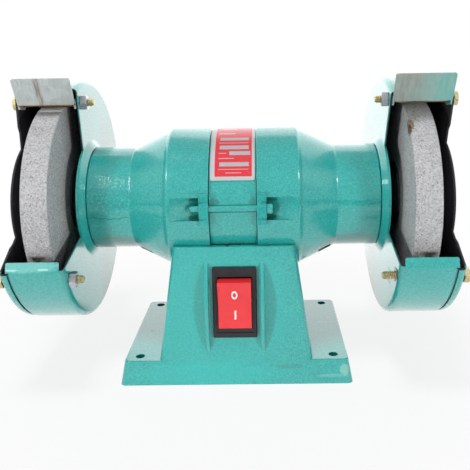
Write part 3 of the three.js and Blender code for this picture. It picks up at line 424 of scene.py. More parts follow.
def enamel(name, marks=(), rough=None, inside=None, crack=None):
    """Glossy enamel with a fine orange peel. marks holds (centre, reach, colour, strength); rough is a (centre, reach)
    of coarse casting; crack is (fromX, toX, level, swing) of a wavy dark line; inside is (side, from X, to X) for the
    near-black faces inside a guard."""
    look = enamelLook
    material, tree, shader, place = newFinish(name, {
        "Metallic": 0.0, "Coat Weight": 0.9, "Coat Roughness": 0.09, "Coat IOR": 1.55, "Specular IOR Level": 0.5})
    speck = lumps(tree, place, look["speck"], 2)
    colour = blend(tree, ramp(tree, speck, 0.34, 0.50, 0.8, 0.0), look["colour"], look["deep"])
    colour = blend(tree, ramp(tree, speck, 0.54, 0.72, 0.0, 0.8), colour, look["pale"])
    colour = blend(tree, ramp(tree, lumps(tree, place, look["mottle"], 3), 0.40, 0.75, 0.0, 0.22), colour, look["deep"])
    height = sums(tree, "MULTIPLY_ADD", lumps(tree, place, look["peel"], 1), 1.0, sums(tree, "MULTIPLY", speck, 0.5))
    if rough:
        spot = patch(tree, place, *rough, ragged=0.6, grain=7 * mm)
        coarse = ramp(tree, lumps(tree, place, 1.9 * mm, 4), 0.34, 0.68)
        height = sums(tree, "MULTIPLY_ADD", sums(tree, "MULTIPLY", coarse, spot), 2.0, height)
        # The coarse grains are coloured by their height: the darkened hollows are painted shade and the paler tops are
        # painted sparkle.
        colour = blend(tree, sums(tree, "MULTIPLY", spot, ramp(tree, coarse, 0.1, 0.8, 0.7, 0.0)), colour, look["deep"])
        colour = blend(tree, sums(tree, "MULTIPLY", spot, ramp(tree, coarse, 0.8, 1.0, 0.0, 0.7)), colour, look["pale"])
    for centre, reach, tint, strength in marks:
        spot = patch(tree, place, centre, reach, ragged=0.7, grain=2.2 * mm)
        colour = blend(tree, sums(tree, "MULTIPLY", spot, strength), colour, tint)
    if crack:
        fromX, toX, level, swing = crack
        parts = addNode(tree, "ShaderNodeSeparateXYZ", {0: place})
        wander = addNode(tree, "ShaderNodeTexNoise", {"Vector": addNode(tree, "ShaderNodeCombineXYZ", {0: parts.outputs[0]}).outputs[0],
                                                      "Scale": 1 / (11 * mm), "Detail": 3.0}).outputs[0]
        line = sums(tree, "ADD", level - swing / 2, sums(tree, "MULTIPLY", wander, swing))
        off = sums(tree, "ABSOLUTE", sums(tree, "SUBTRACT", parts.outputs[2], line))
        near = sums(tree, "MULTIPLY", ramp(tree, off, 0.15 * mm, 0.55 * mm, 1.0, 0.0),
                    sums(tree, "MULTIPLY", ramp(tree, parts.outputs[0], fromX - 3 * mm, fromX),
                         ramp(tree, parts.outputs[0], toX, toX + 3 * mm, 1.0, 0.0)))
        near = sums(tree, "MULTIPLY", near, ramp(tree, parts.outputs[1], shaftY - 20 * mm, shaftY - 10 * mm, 1.0, 0.0))
        colour = blend(tree, sums(tree, "MULTIPLY", near, 0.75), colour, (0.01, 0.12, 0.11))
        height = sums(tree, "MULTIPLY_ADD", near, -1.5, height)
    gloss = ramp(tree, speck, 0.3, 0.7, 0.38, 0.28)
    # Faces inside the guard are coloured near-black, with less coat and a rougher finish.
    if inside:
        hidden = insideGuard(tree, place, *inside)
        colour = blend(tree, hidden, colour, look["bare"])
        gloss = addNode(tree, "ShaderNodeMix", {0: hidden, 2: gloss, 3: 0.6}).outputs[0]
        tree.links.new(ramp(tree, hidden, 0.0, 1.0, 0.9, 0.0), shader.inputs["Coat Weight"])
        tree.links.new(ramp(tree, hidden, 0.0, 1.0, 0.5, 0.2), shader.inputs["Specular IOR Level"])
    tree.links.new(colour, shader.inputs["Base Color"])
    tree.links.new(gloss, shader.inputs["Roughness"])
    relief = giveRelief(tree, shader, height, look["peelDepth"], 0.8)
    tree.links.new(relief, shader.inputs["Coat Normal"])
    return material


gritLook = {
    "colour": (0.42, 0.425, 0.43), "dark": (0.17, 0.165, 0.16), "light": (0.55, 0.55, 0.555), "shade": (0.33, 0.33, 0.34),
    "grain": 0.9 * mm, "fine": 0.6 * mm,
}


def grit(name, stains=()):
    """Bonded grey abrasive; stains holds (centre, reach, grain, colour, strength) of scorched streaks."""
    look = gritLook
    material, tree, shader, place = newFinish(name, {"Roughness": 0.9, "Specular IOR Level": 0.3})
    cells = addNode(tree, "ShaderNodeTexVoronoi", {"Vector": place, "Scale": 1 / look["grain"]})
    pick = addNode(tree, "ShaderNodeSeparateColor", {0: cells.outputs["Color"]})
    fine = lumps(tree, place, look["fine"], 3)
    colour = blend(tree, ramp(tree, pick.outputs[0], 0.0, 1.0), look["shade"], look["light"])
    colour = blend(tree, ramp(tree, fine, 0.42, 0.62, 0.0, 0.75), colour, look["colour"])
    colour = blend(tree, ramp(tree, pick.outputs[1], 0.88, 0.96, 0.0, 0.65), colour, look["dark"])
    colour = blend(tree, ramp(tree, lumps(tree, place, 14 * mm, 3), 0.45, 0.8, 0.0, 0.3), colour, look["shade"])
    for centre, reach, grain, tint, strength in stains:
        spot = patch(tree, place, centre, reach, ragged=1.1, grain=grain)
        colour = blend(tree, sums(tree, "MULTIPLY", spot, strength), colour, tint, "MULTIPLY")
    tree.links.new(colour, shader.inputs["Base Color"])
    height = sums(tree, "MULTIPLY_ADD", cells.outputs["Distance"], -0.8, fine)
    giveRelief(tree, shader, height, 0.22 * mm, 0.7)
    return material


def plated(name, colour, roughness=0.28, grimeAndShade=(0.16, 0.14, 0.12), blotch=2.2 * mm):
    """Bright zinc or passivated zinc, with a cloudy bloom and dirt in patches."""
    material, tree, shader, place = newFinish(name, {"Metallic": 1.0})
    cloud = lumps(tree, place, blotch, 4)
    tint = blend(tree, ramp(tree, cloud, 0.5, 0.78, 0.0, 0.75), colour, grimeAndShade)
    tree.links.new(tint, shader.inputs["Base Color"])
    tree.links.new(ramp(tree, cloud, 0.3, 0.75, roughness, roughness + 0.28), shader.inputs["Roughness"])
    giveRelief(tree, shader, lumps(tree, place, 0.5 * mm, 2), 0.03 * mm, 0.5)
    return material


def galvanised(name, tone, streaks, hem=None):
    """Dull sheet with spangle, faint lines and brown streaks that run down the slope. tone is its colour; streaks holds
    (centre, reach, colour, strength, how broken); hem is (height, half width, colour) of a bright cut edge."""
    material, tree, shader, place = newFinish(name, {"Metallic": 0.35, "Specular IOR Level": 0.5})
    spangle = addNode(tree, "ShaderNodeTexVoronoi", {"Vector": place, "Scale": 1 / (5 * mm)})
    facet = addNode(tree, "ShaderNodeSeparateColor", {0: spangle.outputs["Color"]}).outputs[0]
    down = addNode(tree, "ShaderNodeVectorMath", {0: place, 1: (1, 0.12, 0.12)}, operation="MULTIPLY").outputs[0]
    drawn = addNode(tree, "ShaderNodeTexNoise", {"Vector": down, "Scale": 1 / (1.3 * mm), "Detail": 3.0}).outputs[0]
    dark, pale = [c * 0.86 for c in tone], [min(1, c * 1.1) for c in tone]
    colour = blend(tree, ramp(tree, facet, 0.0, 1.0, 0.2, 0.8), dark, pale)
    colour = blend(tree, ramp(tree, drawn, 0.5, 0.75, 0.0, 0.5), colour, [c * 0.6 for c in tone])
    colour = blend(tree, ramp(tree, lumps(tree, place, 9 * mm, 4), 0.45, 0.7, 0.0, 0.4), colour, [c * 0.75 for c in tone])
    for centre, reach, tint, strength, broken in streaks:
        spot = patch(tree, place, centre, reach, ragged=0.9, grain=7 * mm)
        patchy = ramp(tree, drawn, 0.36, 0.6, 1.0 - broken, 1.0)
        colour = blend(tree, sums(tree, "MULTIPLY", sums(tree, "MULTIPLY", spot, patchy), strength), colour, tint)
    if hem:
        level, half, tint = hem
        off = sums(tree, "ABSOLUTE", sums(tree, "SUBTRACT", addNode(tree, "ShaderNodeSeparateXYZ", {0: place}).outputs[2], level))
        colour = blend(tree, ramp(tree, off, half * 0.6, half, 0.85, 0.0), colour, tint)
    tree.links.new(colour, shader.inputs["Base Color"])
    tree.links.new(ramp(tree, facet, 0.0, 1.0, 0.38, 0.5), shader.inputs["Roughness"])
    giveRelief(tree, shader, drawn, 0.02 * mm, 0.5)
    return material


def moulded(name, colour, roughness, texture=0.4 * mm, depth=0.015 * mm, worn=None):
    material, tree, shader, place = newFinish(name, {"Metallic": 0.0, "Specular IOR Level": 0.5})
    cloud = lumps(tree, place, 6 * mm, 3)
    tint = blend(tree, ramp(tree, cloud, 0.35, 0.75, 0.0, 0.5), colour, worn or [min(1, c * 1.6 + 0.01) for c in colour])
    tree.links.new(tint, shader.inputs["Base Color"])
    tree.links.new(ramp(tree, cloud, 0.3, 0.8, roughness, roughness + 0.1), shader.inputs["Roughness"])
    giveRelief(tree, shader, lumps(tree, place, texture, 2), depth, 0.6)
    return material


def turnedSteel(name, colour=(0.42, 0.43, 0.43), roughness=0.3):
    """Steel with fine tool rings about the shaft line."""
    material, tree, shader, place = newFinish(name, {"Metallic": 1.0})
    rings = lumps(tree, place, 0.35 * mm, 2, stretch=(1, 0.05, 0.05))
    cloud = lumps(tree, place, 7 * mm, 3)
    tint = blend(tree, ramp(tree, cloud, 0.5, 0.8, 0.0, 0.5), colour, [c * 0.55 for c in colour])
    tree.links.new(tint, shader.inputs["Base Color"])
    tree.links.new(ramp(tree, rings, 0.3, 0.7, roughness, roughness + 0.15), shader.inputs["Roughness"])
    giveRelief(tree, shader, rings, 0.02 * mm, 0.6)
    return material


def blackened(name, colour=(0.035, 0.035, 0.038)):
    """Dark oxide on iron, with dust."""
    material, tree, shader, place = newFinish(name, {"Metallic": 0.6})
    dust = lumps(tree, place, 3 * mm, 4)
    tint = blend(tree, ramp(tree, dust, 0.5, 0.8, 0.0, 0.5), colour, (0.16, 0.15, 0.14))
    tree.links.new(tint, shader.inputs["Base Color"])
    tree.links.new(ramp(tree, dust, 0.3, 0.8, 0.42, 0.7), shader.inputs["Roughness"])
    giveRelief(tree, shader, lumps(tree, place, 0.8 * mm, 3), 0.04 * mm, 0.6)
    return material


def stacked(name):
    """The edges of thin laminations, side by side along the shaft."""
    material, tree, shader, place = newFinish(name, {"Metallic": 0.8, "Roughness": 0.5})
    along = addNode(tree, "ShaderNodeSeparateXYZ", {0: place}).outputs[0]
    edge = sums(tree, "FRACT", sums(tree, "DIVIDE", along, 0.5 * mm))
    tint = blend(tree, ramp(tree, edge, 0.0, 0.3), (0.05, 0.05, 0.055), (0.26, 0.26, 0.27))
    tree.links.new(tint, shader.inputs["Base Color"])
    giveRelief(tree, shader, edge, 0.04 * mm, 0.5)
    return material


def wound(name):
    """Varnished copper wire laid round the shaft."""
    material, tree, shader, place = newFinish(name, {"Metallic": 0.7, "Roughness": 0.32, "Coat Weight": 0.4})
    parts = addNode(tree, "ShaderNodeSeparateXYZ", {0: place})
    up = sums(tree, "SUBTRACT", parts.outputs[2], shaftZ)
    back = sums(tree, "SUBTRACT", parts.outputs[1], shaftY)
    radius = sums(tree, "SQRT", sums(tree, "MULTIPLY_ADD", up, up, sums(tree, "MULTIPLY", back, back)))
    wires = sums(tree, "PINGPONG", sums(tree, "ADD", radius, parts.outputs[0]), 0.35 * mm)
    share = ramp(tree, wires, 0.0, 0.35 * mm)
    tint = blend(tree, share, (0.20, 0.06, 0.02), (0.55, 0.20, 0.08))
    tree.links.new(tint, shader.inputs["Base Color"])
    giveRelief(tree, shader, share, 0.2 * mm, 0.8)
    return material


plateLook = {
    "frame": (0.47, 0.48, 0.49), "field": (0.62, 0.030, 0.045), "bar": (0.40, 0.40, 0.42), "rule": (0.62, 0.42, 0.44),
    "fieldX": 12.9 * mm, "fieldFrom": 25.8 * mm, "fieldTo": 85.6 * mm,
    "bars": [(35.4, 1.7, -9.6, 11.9), (45.1, 1.8, -2.4, 13.0), (50.9, 2.0, -9.6, 11.9), (60.8, 1.9, -9.4, 11.9)],
    "rules": [(28.6, 0.3, -5.2, 6.5), (31.4, 0.3, -10.4, 11.6), (40.4, 0.4, -10.2, 1.0), (45.1, 0.4, -10.2, -4.6),
              (55.8, 0.4, -10.2, 11.6), (69.2, 1.0, -10.6, 1.6), (81.4, 1.6, -10.6, 2.4)],
}


def printedPlate(name):
    """A grey metal plate with a red field and plain bars, laid out by the arc round the motor."""
    look = plateLook
    material, tree, shader, place = newFinish(name, {"Metallic": 0.0, "Roughness": 0.35, "Coat Weight": 0.3})
    parts = addNode(tree, "ShaderNodeSeparateXYZ", {0: place})
    up = sums(tree, "SUBTRACT", parts.outputs[2], shaftZ)
    forward = sums(tree, "SUBTRACT", shaftY, parts.outputs[1])
    arc = sums(tree, "MULTIPLY", sums(tree, "ARCTAN2", up, forward), plateHigh.z - shaftZ)

    def within(value, low, high):
        edge = 0.12 * mm
        return sums(tree, "MULTIPLY", ramp(tree, value, low - edge, low + edge),
                    ramp(tree, value, high - edge, high + edge, 1.0, 0.0))

    def area(row):
        middle, half, fromX, toX = (number * mm for number in row)
        return sums(tree, "MULTIPLY", within(arc, middle - half, middle + half), within(parts.outputs[0], fromX, toX))

    field = sums(tree, "MULTIPLY", within(arc, look["fieldFrom"], look["fieldTo"]),
                 within(parts.outputs[0], -look["fieldX"], look["fieldX"] + 1.2 * mm))
    colour = blend(tree, field, look["frame"], look["field"])
    for row in look["bars"]:
        colour = blend(tree, area(row), colour, look["bar"])
    for row in look["rules"]:
        colour = blend(tree, sums(tree, "MULTIPLY", area(row), 0.75), colour, look["rule"])
    scratches = lumps(tree, place, 1.5 * mm, 4)
    colour = blend(tree, ramp(tree, scratches, 0.6, 0.8, 0.0, 0.25), colour, (0.6, 0.5, 0.5))
    tree.links.new(colour, shader.inputs["Base Color"])
    giveRelief(tree, shader, field, 0.05 * mm, 0.6)
    return material


# ---- Base casting ----

baseSize = {
    "skirtHeight": 18 * mm, "flare": 3.2 * mm, "wall": 3.5 * mm, "flange": 4.5 * mm, "skirtCorner": 4 * mm,
    "footHalfX": 57.5 * mm, "headHalfX": 44.8 * mm, "headHalfY": 54 * mm, "topDrop": 26 * mm,
    "corner": 4.2 * mm, "pedestalWall": 4 * mm, "edge": 0.9 * mm,
    "holeInsetX": 14 * mm, "holeInsetY": 11.3 * mm, "holeRadius": 3.5 * mm, "bossRadius": 6.2 * mm,
    "finThickness": 2.8 * mm, "finGap": 2.8 * mm, "finChord": 70 * mm, "finRise": 9 * mm, "finDrop": 3.7 * mm,
    "seat": 0.3 * mm,
}
switchSize = {
    "drop": 67.8 * mm, "bezelHalfX": 16.2 * mm, "bezelHalfZ": 27.1 * mm, "bezel": 2.2 * mm,
    "bodyHalfX": 14.4 * mm, "bodyHalfZ": 23.5 * mm, "depth": 22 * mm,
    "rockerHalfX": 12.4 * mm, "rockerHalfZ": 18.6 * mm, "pivot": 3 * mm, "crease": 6.2 * mm, "back": 6 * mm,
    "tilt": radians(8), "gap": 0.35 * mm, "endGap": 1 * mm,
}
skirtBottom = (baseHigh.x, baseHigh.y - shaftY)
skirtTop = tuple(half - baseSize["flare"] for half in skirtBottom)
pedestalTop = shaftZ - baseSize["topDrop"]
pedestalRise = pedestalTop - baseSize["skirtHeight"]
faceSlope = (skirtTop[1] - baseSize["headHalfY"]) / pedestalRise
sideSlope = (baseSize["footHalfX"] - baseSize["headHalfX"]) / pedestalRise
faceTilt = atan2(faceSlope, 1)
switchZ = shaftZ - switchSize["drop"]


def pedestalAt(height, wall=0.0):
    up = height - baseSize["skirtHeight"]
    return baseSize["footHalfX"] - sideSlope * up - wall, skirtTop[1] - faceSlope * up - wall


def skirtAt(height, wall=0.0):
    flare = baseSize["flare"] * (1 - height / baseSize["skirtHeight"])
    return skirtTop[0] + flare - wall, skirtTop[1] + flare - wall


switchAt = Vector((0, shaftY - pedestalAt(switchZ)[1], switchZ))


def tapered(name, foot, head, fromZ, toZ, corner, rim=0.0):
    piece = block(name, (-foot[0], shaftY - foot[1], fromZ), (foot[0], shaftY + foot[1], toZ))
    editAll(piece)
    selectVertices(piece, lambda place: place.z > (fromZ + toZ) / 2)
    bpy.ops.transform.resize(value=(head[0] / foot[0], head[1] / foot[1], 1), center_override=(0, shaftY, toZ))
    settle(piece)
    roundEdges(piece, corner, 6, upright=True)
    if rim:
        editAll(piece)
        selectEdges(piece, lambda a, b: min(a.z, b.z) > toZ - 0.1 * mm)
        bpy.ops.mesh.bevel(offset=rim, segments=3, affect="EDGES")
        settle(piece)
    return piece


def fourCorners(x, y):
    return [(sideX * x, shaftY + sideY * y) for sideX in (-1, 1) for sideY in (-1, 1)]


def fin(side):
    size = baseSize
    chord, rise = size["finChord"], size["finRise"]
    bend = (chord ** 2 / 4 + rise ** 2) / (2 * rise)
    half = asin(chord / 2 / bend)
    face = shaftY - pedestalAt(switchZ - size["finDrop"])[1]
    middle = switchZ - size["finDrop"]
    root = size["pedestalWall"] / 2
    outline = [(face + root, middle + chord / 2), (face + root, middle - chord / 2)]
    steps = 24
    for step in range(steps + 1):
        sweep = half * (2 * step / steps - 1)
        outline.append((face - (bend * cos(sweep) - bend + rise), middle + bend * sin(sweep)))
    inner = switchSize["bezelHalfX"] + size["finGap"]
    fromX, toX = sorted((side * inner, side * (inner + size["finThickness"])))
    piece = softEdges(prism("fin", outline, fromX, toX), 0.7 * mm, 60, 3)
    return turnedAbout(piece, faceTilt, (0, face, middle))


def chips():  # small breaks along the front of the saddle
    made = []
    rim = shaftY - sqrt((bellRadius + baseSize["seat"]) ** 2 - baseSize["topDrop"] ** 2)
    for x, y, reach in ((-4.5, -0.6, 1.3), (-3.2, -1.9, 0.9), (4.2, -0.3, 1.0), (26.0, 0.2, 0.7), (-31.0, 0.0, 0.6)):
        deselectAll()
        bpy.ops.mesh.primitive_ico_sphere_add(subdivisions=2, radius=reach * mm,
                                              location=(x * mm, rim + y * mm, pedestalTop + 0.1 * mm))
        chip = settle(bpy.context.object)
        editAll(chip)
        bpy.ops.transform.vertex_random(offset=0.25 * mm, seed=int(x * 10) % 17)
        made.append(settle(chip))
    return made


def makeBase(paint):
    size = baseSize
    height, top = size["skirtHeight"], pedestalTop
    underside = height - size["flange"]
    casting = tapered("pedestalCasting", skirtBottom, skirtTop, 0, height, size["skirtCorner"], size["edge"])
    column = tapered("column", pedestalAt(underside), pedestalAt(top), underside, top, size["corner"])
    joined(casting, column)
    below = -1 * mm
    skirtHollow = tapered("skirtHollow", skirtAt(below, size["wall"]), skirtAt(underside, size["wall"]),
                          below, underside, 1.5 * mm)
    saddle = bellRadius + size["seat"]
    roof = top - 2 * mm
    pedestalHollow = tapered("pedestalHollow", pedestalAt(below, size["pedestalWall"]),
                             pedestalAt(roof, size["pedestalWall"]), below, roof, 1.5 * mm)
    cut(pedestalHollow, rod("saddleRoof", saddle + 5 * mm, (0, shaftY, shaftZ), 0.4, sides=160))
    cut(casting, skirtHollow, pedestalHollow)
    joined(casting, *[rod("boss", size["bossRadius"], (x, y, height / 2), height - 0.5 * mm, "Z")
                      for x, y in fourCorners(baseHigh.x - size["holeInsetX"], skirtBottom[1] - size["holeInsetY"])])
    joined(casting, fin(-1), fin(1))
    cut(casting, rod("saddle", saddle, (0, shaftY, shaftZ), 0.4, sides=192))
    relief = block("relief", (-30 * mm, shaftY - 57.6 * mm, shaftZ - 12 * mm), (30 * mm, shaftY, shaftZ + 12 * mm))
    cut(casting, turnedAbout(relief, radians(232.5), (0, shaftY, shaftZ)))
    pocket = block("pocket", switchAt - Vector((switchSize["bodyHalfX"], 3 * mm, switchSize["bodyHalfZ"])),
                   switchAt + Vector((switchSize["bodyHalfX"], switchSize["depth"], switchSize["bodyHalfZ"])))
    cut(casting, turnedAbout(pocket, faceTilt, switchAt))
    for x, y in fourCorners(baseHigh.x - size["holeInsetX"], skirtBottom[1] - size["holeInsetY"]):
        cut(casting, rod("benchHole", size["holeRadius"], (x, y, height / 2), 2 * height, "Z", 40))
    grommetLow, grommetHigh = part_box("cord_grommet")
    cordPlace = (grommetLow + grommetHigh) / 2
    cut(casting, rod("cordHole", 6 * mm, cordPlace, 30 * mm, "Y", 40), *chips())
    return finished(casting, "frame", paint, ["base_pedestal"], 30)


casting = makeBase(enamel("baseEnamel", [
    # The first two marks are painted light: the front face and the skirt are made lighter, most on the left, where the
    # light falls.
    ((-0.015, shaftY - 0.060, 0.060), (0.070, 0.040, 0.075), (0.012, 0.440, 0.405), 0.38),
    ((-0.020, shaftY - 0.066, 0.008), (0.075, 0.020, 0.012), (0.016, 0.450, 0.415), 0.35),
    ((0.0810, shaftY - 0.0580, 0.0100), (0.0042, 0.006, 0.0050), (0.30, 0.58, 0.51), 0.5),
    ((0.0720, shaftY - 0.0590, 0.0060), (0.0150, 0.005, 0.0014), (0.25, 0.55, 0.49), 0.3),
    ((0.0400, shaftY - 0.0590, 0.0130), (0.0120, 0.006, 0.0020), (0.03, 0.22, 0.18), 0.45),
    ((-0.0715, shaftY - 0.0050, 0.0180), (0.0022, 0.0022, 0.001), (0.04, 0.16, 0.14), 0.8),
    ((0.0700, shaftY + 0.0080, 0.0180), (0.0060, 0.0016, 0.001), (0.12, 0.34, 0.31), 0.6),
    ((0.0680, shaftY - 0.0080, 0.0180), (0.0040, 0.0012, 0.001), (0.12, 0.34, 0.31), 0.6),
    ((-0.0045, shaftY - 0.0512, pedestalTop), (0.0026, 0.0030, 0.0022), (0.01, 0.10, 0.08), 0.9),
]))
print("base casting ready")


# ---- Motor ----

motorSize = {
    "shoulder": 47.9 * mm, "coneStart": 50.6 * mm, "coneTop": 53.2 * mm, "coneEnd": 73.5 * mm, "coneFoot": 42 * mm,
    "neck": 40.1 * mm, "wall": 4.6 * mm, "neckWall": 3.9 * mm, "endWall": 5 * mm, "shaftHole": 9.5 * mm,
    "bearingSeat": 17.7 * mm, "bearingHub": 22.3 * mm, "bearingWidth": 11 * mm,
    "shoulderFillet": 3.4 * mm, "coneFillet": 8 * mm, "neckFillet": 5 * mm, "rimFillet": 0.5 * mm, "endFillet": 0.8 * mm,
    "lug": 7 * mm, "lugProud": 2 * mm, "lugHalf": 11.7 * mm, "lugEdge": 0.7 * mm, "padProud": 0.2 * mm,
    "pocketHalf": 8.5 * mm, "pocketLength": 21.3 * mm, "pocketFloor": 46.5 * mm, "pocketBack": 42.8 * mm,
    "ventWidth": 16 * mm, "ventLength": 10.5 * mm, "ventDepth": 7.4 * mm, "ventFromNeck": 4.5 * mm,
    "bandBore": 47.9 * mm, "bandEdge": 0.4 * mm, "edge": 0.3 * mm,
}
tieAngles = (2.5, 132.5, 232.5)
tieCircle = bellRadius - 2.6 * mm
tieSize = {
    "radius": 2.5 * mm, "hole": 2.8 * mm, "across": 7 * mm, "head": 4 * mm, "gap": 0.3 * mm,
    "nutAcross": 4.32 * mm, "nut": 5 * mm, "tail": 7 * mm, "pitch": 0.8 * mm, "washer": 0.8 * mm,
}
lugEnd = bellLow.x + motorSize["lug"]


def frontBlock(name, fromX, toX, outer, inner, half, edge=0.0):  # a block at the front of the motor, by radius
    return block(name, (fromX, shaftY - outer, shaftZ - half), (toX, shaftY - inner, shaftZ + half), edge)


def roundShaft(piece, angle):
    return turnedAbout(piece, radians(angle), (0, shaftY, shaftZ))


def vent(angle):
    size = motorSize
    slope = atan2(size["coneTop"] - size["coneFoot"], size["coneEnd"] - size["coneStart"])
    back = size["ventFromNeck"]
    middle = Vector((size["coneEnd"] - back, shaftY - size["coneFoot"] - back * tan(slope), shaftZ))
    reach = Vector((size["ventLength"], 2 * size["ventDepth"], size["ventWidth"])) / 2
    slot = block("vent", middle - reach, middle + reach)
    editAll(slot)
    selectEdges(slot, lambda a, b: abs(a.y - b.y) > 0.8 * (a - b).length)
    bpy.ops.mesh.bevel(offset=mm, segments=4, affect="EDGES")
    settle(slot)
    turnedAbout(slot, -slope, middle, "Z")
    return roundShaft(slot, angle)


def makeBell(paint):
    size = motorSize
    face, end = bellLow.x, bellHigh.x
    slope = (size["coneTop"] - size["coneFoot"]) / (size["coneEnd"] - size["coneStart"])
    neckFrom = size["coneEnd"] + (size["coneFoot"] - size["neck"]) / slope
    wallFace = end - size["endWall"]
    seatFrom = wallFace - size["bearingWidth"]
    neckBore = size["neck"] - size["neckWall"]
    bell = spun("rightEndBell", filleted([
        (face, bellRadius, size["rimFillet"]), (size["shoulder"], bellRadius, size["shoulderFillet"]),
        (size["coneStart"], size["coneTop"], size["coneFillet"]), (neckFrom, size["neck"], size["neckFillet"]),
        (end, size["neck"], size["endFillet"]), (end, size["shaftHole"], 0), (wallFace, size["shaftHole"], 0),
        (wallFace, size["bearingSeat"], 0), (seatFrom, size["bearingSeat"], 0), (seatFrom, size["bearingHub"], 0),
        (wallFace, size["bearingHub"], 0), (wallFace, neckBore, 0), (neckFrom, neckBore, 0),
        (size["coneStart"], size["coneTop"] - size["wall"], 0), (size["shoulder"], bellRadius - size["wall"], 0),
        (face, bellRadius - size["wall"], 0)]), 144)
    pocketEnd = lugEnd + size["pocketLength"]
    overlap = bellRadius - size["wall"] / 2
    for angle in tieAngles:
        pad = frontBlock("pad", lugEnd, pocketEnd + mm, bellRadius + 3 * mm, size["pocketBack"], size["lugHalf"])
        roundShaft(pad, angle)
        useModifier(pad, "BOOLEAN", operation="INTERSECT", solver="EXACT",
                    object=rod("padSkin", bellRadius + size["padProud"], (0, shaftY, shaftZ), 0.3, sides=192))
        bpy.data.objects.remove(bpy.data.objects["padSkin"])
        root = frontBlock("lugRoot", face, lugEnd, overlap, size["bandBore"] + 0.3 * mm, size["lugHalf"])
        lug = frontBlock("lug", face, lugEnd, bellRadius + size["lugProud"], overlap - 2 * mm, size["lugHalf"],
                         size["lugEdge"])
        joined(bell, pad, roundShaft(root, angle), roundShaft(lug, angle))
        wedge = outlineFrom("wedge", [(x, shaftY - radius, shaftZ - size["pocketHalf"]) for x, radius in (
            (lugEnd, size["pocketFloor"]), (lugEnd, bellRadius + 5 * mm), (pocketEnd + 6 * mm, bellRadius + 5 * mm),
            (pocketEnd, bellRadius + size["padProud"]))])
        bpy.ops.mesh.select_all(action="SELECT")
        bpy.ops.mesh.edge_face_add()
        bpy.ops.mesh.extrude_region_move(TRANSFORM_OT_translate={"value": (0, 0, 2 * size["pocketHalf"])})
        cleaned(wedge)
        hole = rod("tieHole", tieSize["hole"], (lugEnd / 2, shaftY - tieCircle, shaftZ), lugEnd + 2 * mm, sides=32)
        cut(bell, roundShaft(wedge, angle), roundShaft(hole, angle))
    cut(bell, *[vent(angle) for angle in (-116, -90, -64)])
    softEdges(bell, size["edge"], 38, 2)
    return finished(bell, "frame", paint, ["right_end_bell"], 30)


def bellMarks(way):  # painted shade in the pockets beside the front lug, and darker underneath: painted shade with some grime
    grimeAndShade, shade = (0.045, 0.17, 0.155), (0.008, 0.10, 0.09)
    return [((way * 0.092, shaftY - 0.025, shaftZ - 0.031), (0.030, 0.016, 0.013), grimeAndShade, 0.6),
            ((way * 0.030, shaftY - 0.040, shaftZ - 0.033), (0.030, 0.012, 0.010), grimeAndShade, 0.35),
            ((way * 0.025, shaftY - 0.050, shaftZ + 0.0078), (0.009, 0.012, 0.0018), shade, 0.65),
            ((way * 0.025, shaftY - 0.050, shaftZ - 0.0046), (0.010, 0.012, 0.0018), shade, 0.65)]


bell = makeBell(enamel("bellEnamel", bellMarks(1)))
leftBell = bothSides(bell, "frame", ["left_end_bell"])
repaint(leftBell, enamel("leftBellEnamel", bellMarks(-1),
                         rough=((-0.091, shaftY - 0.037, shaftZ + 0.011), (0.021, 0.018, 0.019)),
                         crack=(-0.106, -0.080, shaftZ - 0.0075, 9 * mm)))
print("end bells ready")


# ---- Fasteners ----

def chamferedHex(name, across, fromX, toX, place, chamferFrom=True, chamferTo=True):
    """A hexagon along X through place, with its corners turned down at one end or both."""
    circle = across / sqrt(3)
    middle = Vector(((fromX + toX) / 2, place[1], place[2]))
    body = rod(name, circle, middle, toX - fromX, sides=6)
    drop = circle * 0.16
    lead = drop * 0.6
    outline = [(fromX, 0)]
    outline += [(fromX, circle - drop), (fromX + lead, circle + 0.01 * mm)] if chamferFrom else [(fromX, circle * 1.02)]
    outline += [(toX - lead, circle + 0.01 * mm), (toX, circle - drop)] if chamferTo else [(toX, circle * 1.02)]
    outline += [(toX, 0)]
    turned = spun("turned", outline, 48, centre=(0, place[1], place[2]))
    useModifier(body, "BOOLEAN", operation="INTERSECT", object=turned, solver="EXACT")
    bpy.data.objects.remove(turned)
    return body


def threadedRod(name, radius, fromX, toX, place, threadTo, pitch, sides=28):
    """A rod along X with thread ridges from fromX up to threadTo and a chamfered first end."""
    depth = pitch * 0.5
    outline = [(fromX, 0), (fromX, radius - 1.4 * depth)]
    ridges = int((threadTo - fromX - 0.6 * pitch) / pitch)
    for ridge in range(ridges):
        start = fromX + 0.5 * pitch + ridge * pitch
        outline += [(start, radius - (1.2 * depth if ridge == 0 else depth)), (start + 0.42 * pitch, radius),
                    (start + 0.58 * pitch, radius)]
    outline += [(fromX + 0.5 * pitch + ridges * pitch, radius - depth), (threadTo + pitch, radius), (toX, radius),
                (toX, 0)]
    return spun(name, outline, sides, centre=(0, place[1], place[2]))


# ---- Tie bolts, band and nameplate ----

def makeTieBolt(paint, number, angle):
    size = tieSize
    place = (0, shaftY - tieCircle, shaftZ)
    headFrom = lugEnd + size["gap"]
    bolt = threadedRod(f"tieBolt{number}", size["radius"], -lugEnd - size["tail"], headFrom + 1.0 * mm, place,
                       -lugEnd - size["nut"], size["pitch"])
    joined(bolt, chamferedHex("tieHead", size["across"], headFrom, headFrom + size["head"], place, False, True),
           rod("tieNut", size["radius"], (-lugEnd - size["gap"] - size["nut"] / 2, place[1], place[2]), size["nut"], sides=6))
    softEdges(bolt, 0.15 * mm, 30, 2)
    roundShaft(bolt, angle)
    return finished(bolt, "frame", paint, [f"tie_bolt_{number}"], 30)


for number, angle in enumerate(tieAngles, 1):
    makeTieBolt(enamel(f"tieEnamel{number}"), number, angle)


